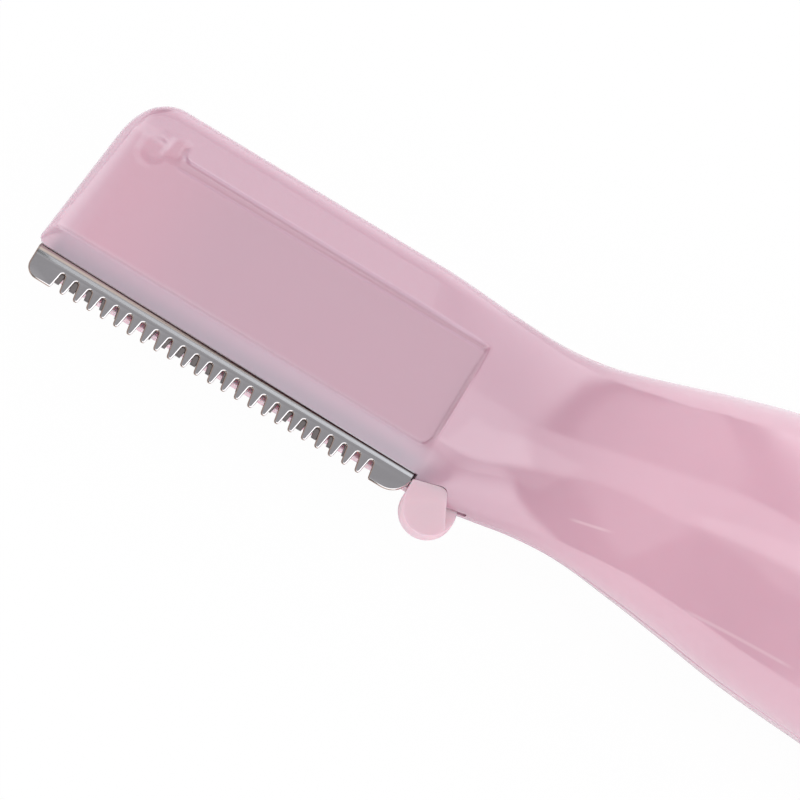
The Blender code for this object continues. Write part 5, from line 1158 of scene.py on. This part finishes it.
def finger_tab():
    """The arm with the round tab that opens it."""
    bottom, top = ARM_Z
    eye_x = PIVOT[0]
    outline = arc(PIVOT, ARM_EYE, 0, 180, 20)
    outline += [(eye_x - ARM_EYE, ARM_TOP), (ARM_START, 3.1), (ARM_START, ARM_LOW), (TAB[0], ARM_LOW)]
    outline += [(TAB[0], 2.2), (ARM_END, 2.2), (ARM_END, 5.8), (ARM_END - 2.2, 9.6)]
    outline += [(9.9, ARM_TOP), (eye_x + ARM_EYE, ARM_TOP)]
    obj = plate("arm", raised(outline), bottom, top, 0.06)
    disc = plate("tab_disc", raised(arc(TAB, TAB_RADIUS, 0, 354, 59)), bottom, TAB_STEP_Z, 0.15, 4)
    block = tab_block()
    bore = rod("eye_bore", BORE_RADIUS, (*EYE, -3), (*EYE, 3))
    pegs = []
    for i, (x, t) in enumerate(PEGS):
        pegs.append(rod(f"peg_{i}", PEG_RADIUS, (x, height(t), bottom + 0.2), (x, height(t), 0.48)))
    combine(obj, "UNION", disc, block, *pegs)
    combine(obj, "DIFFERENCE", bore)
    return shade(flattened(obj), "arm_plastic")


CAP_GAP = 0.1
CAP_ROUND = 6
CAP_WALL = 1.3
CAP_RINGS = 24
CAP_ROUND_RINGS = 18
CAP_END_SHARE = 0.42
RING_POINTS = 96


def full_ring(x, shrink, wall=0.0):
    """A whole outline, scaled about the axis."""
    low, high, half, _, _ = section(x)
    points = []
    for i in range(RING_POINTS):
        angle = 2 * math.pi * i / RING_POINTS
        y, z = ((high - low) / 2 - wall) * math.cos(angle), (half - wall) * math.sin(angle)
        points.append((x, y * shrink, z * shrink))
    return points


def cap():
    """The battery cap: a tapering sleeve with a round end."""
    round_x = TAIL_X - CAP_ROUND
    rings = [full_ring(mix(SPLIT_X + CAP_GAP, round_x, i / CAP_RINGS), 1.0) for i in range(CAP_RINGS + 1)]
    for i in range(1, CAP_ROUND_RINGS + 1):
        angle = math.radians(90 * i / CAP_ROUND_RINGS)
        share = CAP_END_SHARE + (1 - CAP_END_SHARE) * math.cos(angle)
        rings.append(full_ring(round_x + CAP_ROUND * math.sin(angle), share))
    inner = [full_ring(x, 1.0, CAP_WALL) for x in (SPLIT_X - 1, SPLIT_X + 8, TAIL_X - 7)]
    inner.append(full_ring(TAIL_X - 2 * CAP_WALL, 0.75, CAP_WALL))
    obj = combine(skin("tail_cap", rings), "DIFFERENCE", skin("cap_hollow", inner))
    return shade(obj, "body_plastic")


KNOB_X = 77.2
KNOB_HALF_LENGTH = 5.3
KNOB_HALF_WIDTH = 3.0
KNOB_BASE = GRIP_THICKNESS / 2 - 0.5
KNOB_HEIGHT = 1.3
KNOB_EDGE = 0.4
RIBS = 5
RIB_PITCH = 1.2
RIB_HALF_LENGTH = 1.8
RIB_RADIUS = 0.25
RIB_Z = (1.0, 1.55)


def pill(x, half_length, radius, start_deg, steps):
    """An outline with two round ends: along X from -90 degrees, along Y from 0."""
    reach = half_length - radius
    across, up = (reach, 0) if start_deg else (0, reach)
    first = arc((x + across, up), radius, start_deg, start_deg + 180, steps)
    return first + arc((x - across, -up), radius, start_deg + 180, start_deg + 360, steps)


def knob():
    """The sliding switch's pill with cross ribs."""
    points = pill(KNOB_X, KNOB_HALF_LENGTH, KNOB_HALF_WIDTH, -90, 24)
    obj = plate("knob", points, KNOB_BASE, KNOB_BASE + KNOB_HEIGHT, KNOB_EDGE, 6)
    ribs = []
    for i in range(RIBS):
        outline = pill(KNOB_X + (i - RIBS // 2) * RIB_PITCH, RIB_HALF_LENGTH, RIB_RADIUS, 0, 8)
        ribs.append(plate(f"knob_rib_{i}", outline, KNOB_BASE + RIB_Z[0], KNOB_BASE + RIB_Z[1], 0.1, 3))
    return shade(combine(obj, "UNION", *ribs), "knob_plastic")


# The camera, the light and the floor

CAMERA_AIM = (24.16, height(5.28), 1.3)
CAMERA_TURN = 31.1
CAMERA_TILT = 15.0
CAMERA_DISTANCE = 0.6
PICTURE_WIDTH = 50
SENSOR = 36


def camera():
    """A long lens over the head, turned so that the comb runs down to the right."""
    turn = math.radians(CAMERA_TURN)
    tilt = math.radians(CAMERA_TILT)
    along = Vector((1, 0, 0))
    up = Vector((0, math.cos(tilt), math.sin(tilt)))
    back = along.cross(up)
    right = along * math.cos(turn) + up * math.sin(turn)
    top = up * math.cos(turn) - along * math.sin(turn)
    data = bpy.data.cameras.new("camera")
    data.sensor_width = SENSOR
    data.sensor_fit = "HORIZONTAL"
    data.lens = SENSOR * CAMERA_DISTANCE / (PICTURE_WIDTH * MM)
    data.clip_start = 0.01
    data.clip_end = 10
    obj = bpy.data.objects.new("camera", data)
    axes = Matrix((right, top, back)).transposed().to_4x4()
    obj.matrix_world = Matrix.Translation(Vector(place(CAMERA_AIM)) + back * CAMERA_DISTANCE) @ axes
    bpy.context.scene.collection.objects.link(obj)
    bpy.context.scene.camera = obj


SOFTBOX_PLACE = (-0.2, -0.1, 0.9)
SOFTBOX_AIM = (-0.02, 0.0, 0)
SOFTBOX_SIZE = (0.5, 0.4)
SOFTBOX_POWER = 0.2


def softbox():
    """A weak lamp high over the comb's side of the head."""
    data = bpy.data.lights.new("softbox", "AREA")
    data.shape = "RECTANGLE"
    data.size, data.size_y = SOFTBOX_SIZE
    data.energy = SOFTBOX_POWER
    obj = bpy.data.objects.new("softbox", data)
    obj.location = SOFTBOX_PLACE
    obj.rotation_euler = (Vector(SOFTBOX_AIM) - Vector(SOFTBOX_PLACE)).to_track_quat("-Z", "Y").to_euler()
    bpy.context.scene.collection.objects.link(obj)


# The room's light, by the direction it comes from: x from -1 beyond the head's tip to 1 beyond the cap, and y
# from -1 on the comb's side to 1 on the head's back. Each row of the wall is a place along y and its level.
WALL_ROWS = (
    (-1.0, 1.3), (-0.6, 1.7), (-0.46, 1.5), (-0.34, 1.0), (-0.16, 1.0),
    (-0.08, 1.6), (0.1, 1.5), (0.27, 1.25), (0.4, 1.15), (1.0, 1.6),
)
WALL_TOP = 2.1
WALL_RIGHT = (-0.14, 0.02)
WALL_BACK_X = (-0.4, -0.16)
WALL_BACK_Y = (0.26, 0.31)
WALL_LEFT = (-0.5, -0.7)
WIDE_SIDES = ((-0.22, -0.08), (0.31, 0.28))
WIDE_LEFT = (-0.8, -0.65)
WIDE_LEVEL = 0.95
WIDE_RIGHT = (-0.26, -0.19)
WIDE_RIGHT_MORE = 0.65
DIM_LEVEL = 0.14
DIM_LEFT = (-0.36, -0.46)
DIM_LEFT_MORE = 0.36
ROOM_COLOUR = (1.0, 0.985, 1.02, 1)
WHITE = (1, 1, 1, 1)


def camera_blend(tree, light, seen, share, output):
    """Shows one shader to the camera, by a share, and gives the other one to every other ray."""
    camera_ray = add_node(tree, "LightPath").outputs["Is Camera Ray"]
    blend = add_node(tree, "MixShader", Fac=joined(tree, "MULTIPLY", camera_ray, share))
    feed(tree, blend.inputs[1], light)
    feed(tree, blend.inputs[2], seen)
    feed(tree, output, blend.outputs["Shader"])


def room_level(tree, x, y):
    """How bright the room is in a direction: a wall, a wide soft light overhead, and dimness between them."""
    ramp = add_node(tree, "ValToRGB", Fac=ranged(tree, y, -1.0, 1.0, kind="LINEAR"))
    while len(ramp.color_ramp.elements) < len(WALL_ROWS):
        ramp.color_ramp.elements.new(0.5)
    for element, (spot, level) in zip(ramp.color_ramp.elements, WALL_ROWS):
        element.position = (spot + 1) / 2
        element.color = (level / WALL_TOP, level / WALL_TOP, level / WALL_TOP, 1)
    # the wall stands on the right, at the back and beyond the far left
    back = joined(tree, "MULTIPLY", ranged(tree, x, *WALL_BACK_X), ranged(tree, y, *WALL_BACK_Y))
    beside = joined(tree, "MAXIMUM", ranged(tree, x, *WALL_RIGHT), back, ranged(tree, x, *WALL_LEFT))
    wall = joined(tree, "MULTIPLY", ramp.outputs["Color"], ranged(tree, beside, 0.0, 1.0, 0.0, WALL_TOP))
    # the wide light is brighter towards the right, and the dimness is weaker towards the left
    sides = [ranged(tree, y, *side) for side in WIDE_SIDES]
    inside = joined(tree, "MULTIPLY", *sides, ranged(tree, x, *WIDE_LEFT))
    level = joined(tree, "ADD", ranged(tree, x, *WIDE_RIGHT, 0.0, WIDE_RIGHT_MORE), WIDE_LEVEL)
    wide = joined(tree, "MULTIPLY", inside, level)
    dim = joined(tree, "ADD", ranged(tree, x, *DIM_LEFT, 0.0, DIM_LEFT_MORE), DIM_LEVEL)
    return joined(tree, "MAXIMUM", wall, wide, dim)


def studio():
    """The room's light on the trimmer, and plain white for the camera."""
    world = bpy.data.worlds.new("room")
    bpy.context.scene.world = world
    world.use_nodes = True
    tree = world.node_tree
    split = add_node(tree, "SeparateXYZ", Vector=add_node(tree, "TexCoord").outputs["Generated"])
    background = tree.nodes["Background"]
    feed(tree, background.inputs["Color"], ROOM_COLOUR)
    feed(tree, background.inputs["Strength"], room_level(tree, split.outputs["X"], split.outputs["Y"]))
    white = add_node(tree, "Background", Strength=1.0, Color=WHITE)
    surface = tree.nodes["World Output"].inputs["Surface"]
    camera_blend(tree, background.outputs["Background"], white.outputs["Background"], 1.0, surface)


FLOOR_GREY = (0.9, 0.9, 0.9, 1)
FLOOR_ROUGHNESS = 0.9
FLOOR_GLOW_SHARE = 0.97


def floor():
    """A pale sheet that shows white and keeps a faint shadow."""
    mesh = bpy.data.meshes.new("floor")
    mesh.from_pydata([(-1, -1, 0), (1, -1, 0), (1, 1, 0), (-1, 1, 0)], [], [(0, 1, 2, 3)])
    obj = bpy.data.objects.new("floor", mesh)
    bpy.context.scene.collection.objects.link(obj)
    material = bpy.data.materials.new("floor")
    material.use_nodes = True
    tree = material.node_tree
    shader = tree.nodes["Principled BSDF"]
    feed(tree, shader.inputs["Base Color"], FLOOR_GREY)
    feed(tree, shader.inputs["Roughness"], FLOOR_ROUGHNESS)
    glow = add_node(tree, "Emission", Strength=1.0)
    surface = tree.nodes["Material Output"].inputs["Surface"]
    camera_blend(tree, shader.outputs["BSDF"], glow.outputs["Emission"], FLOOR_GLOW_SHARE, surface)
    mesh.materials.append(material)


camera()
studio()
softbox()
floor()


slots = {row["node"]: row["material_slot"] for row in frame["record"]["subparts"]}
for name, obj in frame["nodes"].items():
    obj.data.materials.clear()
    obj.data.materials.append(looks[slots[name]].material)

PIECES = (
    (front_shell, "housing", "front_shell", "body_plastic"),
    (back_shell, "housing", "back_shell", "body_plastic"),
    (cap, "cap", "battery_cap", "body_plastic"),
    (comb, "housing", "comb_blade", "comb_steel"),
    (pivot_pin, "housing", "arm_pivot_pin", "body_plastic"),
    (moving_cutter, "cutter", "moving_cutter", "cutter_steel"),
    (finger_tab, "swing_arm", "cutter_arm", "arm_plastic"),
    (knob, "switch", "switch_knob", "knob_plastic"),
)
for build, body, node, slot in PIECES:
    piece = build()
    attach(piece, body)
    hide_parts(node)

bpy.context.scene.view_settings.view_transform = "Standard"
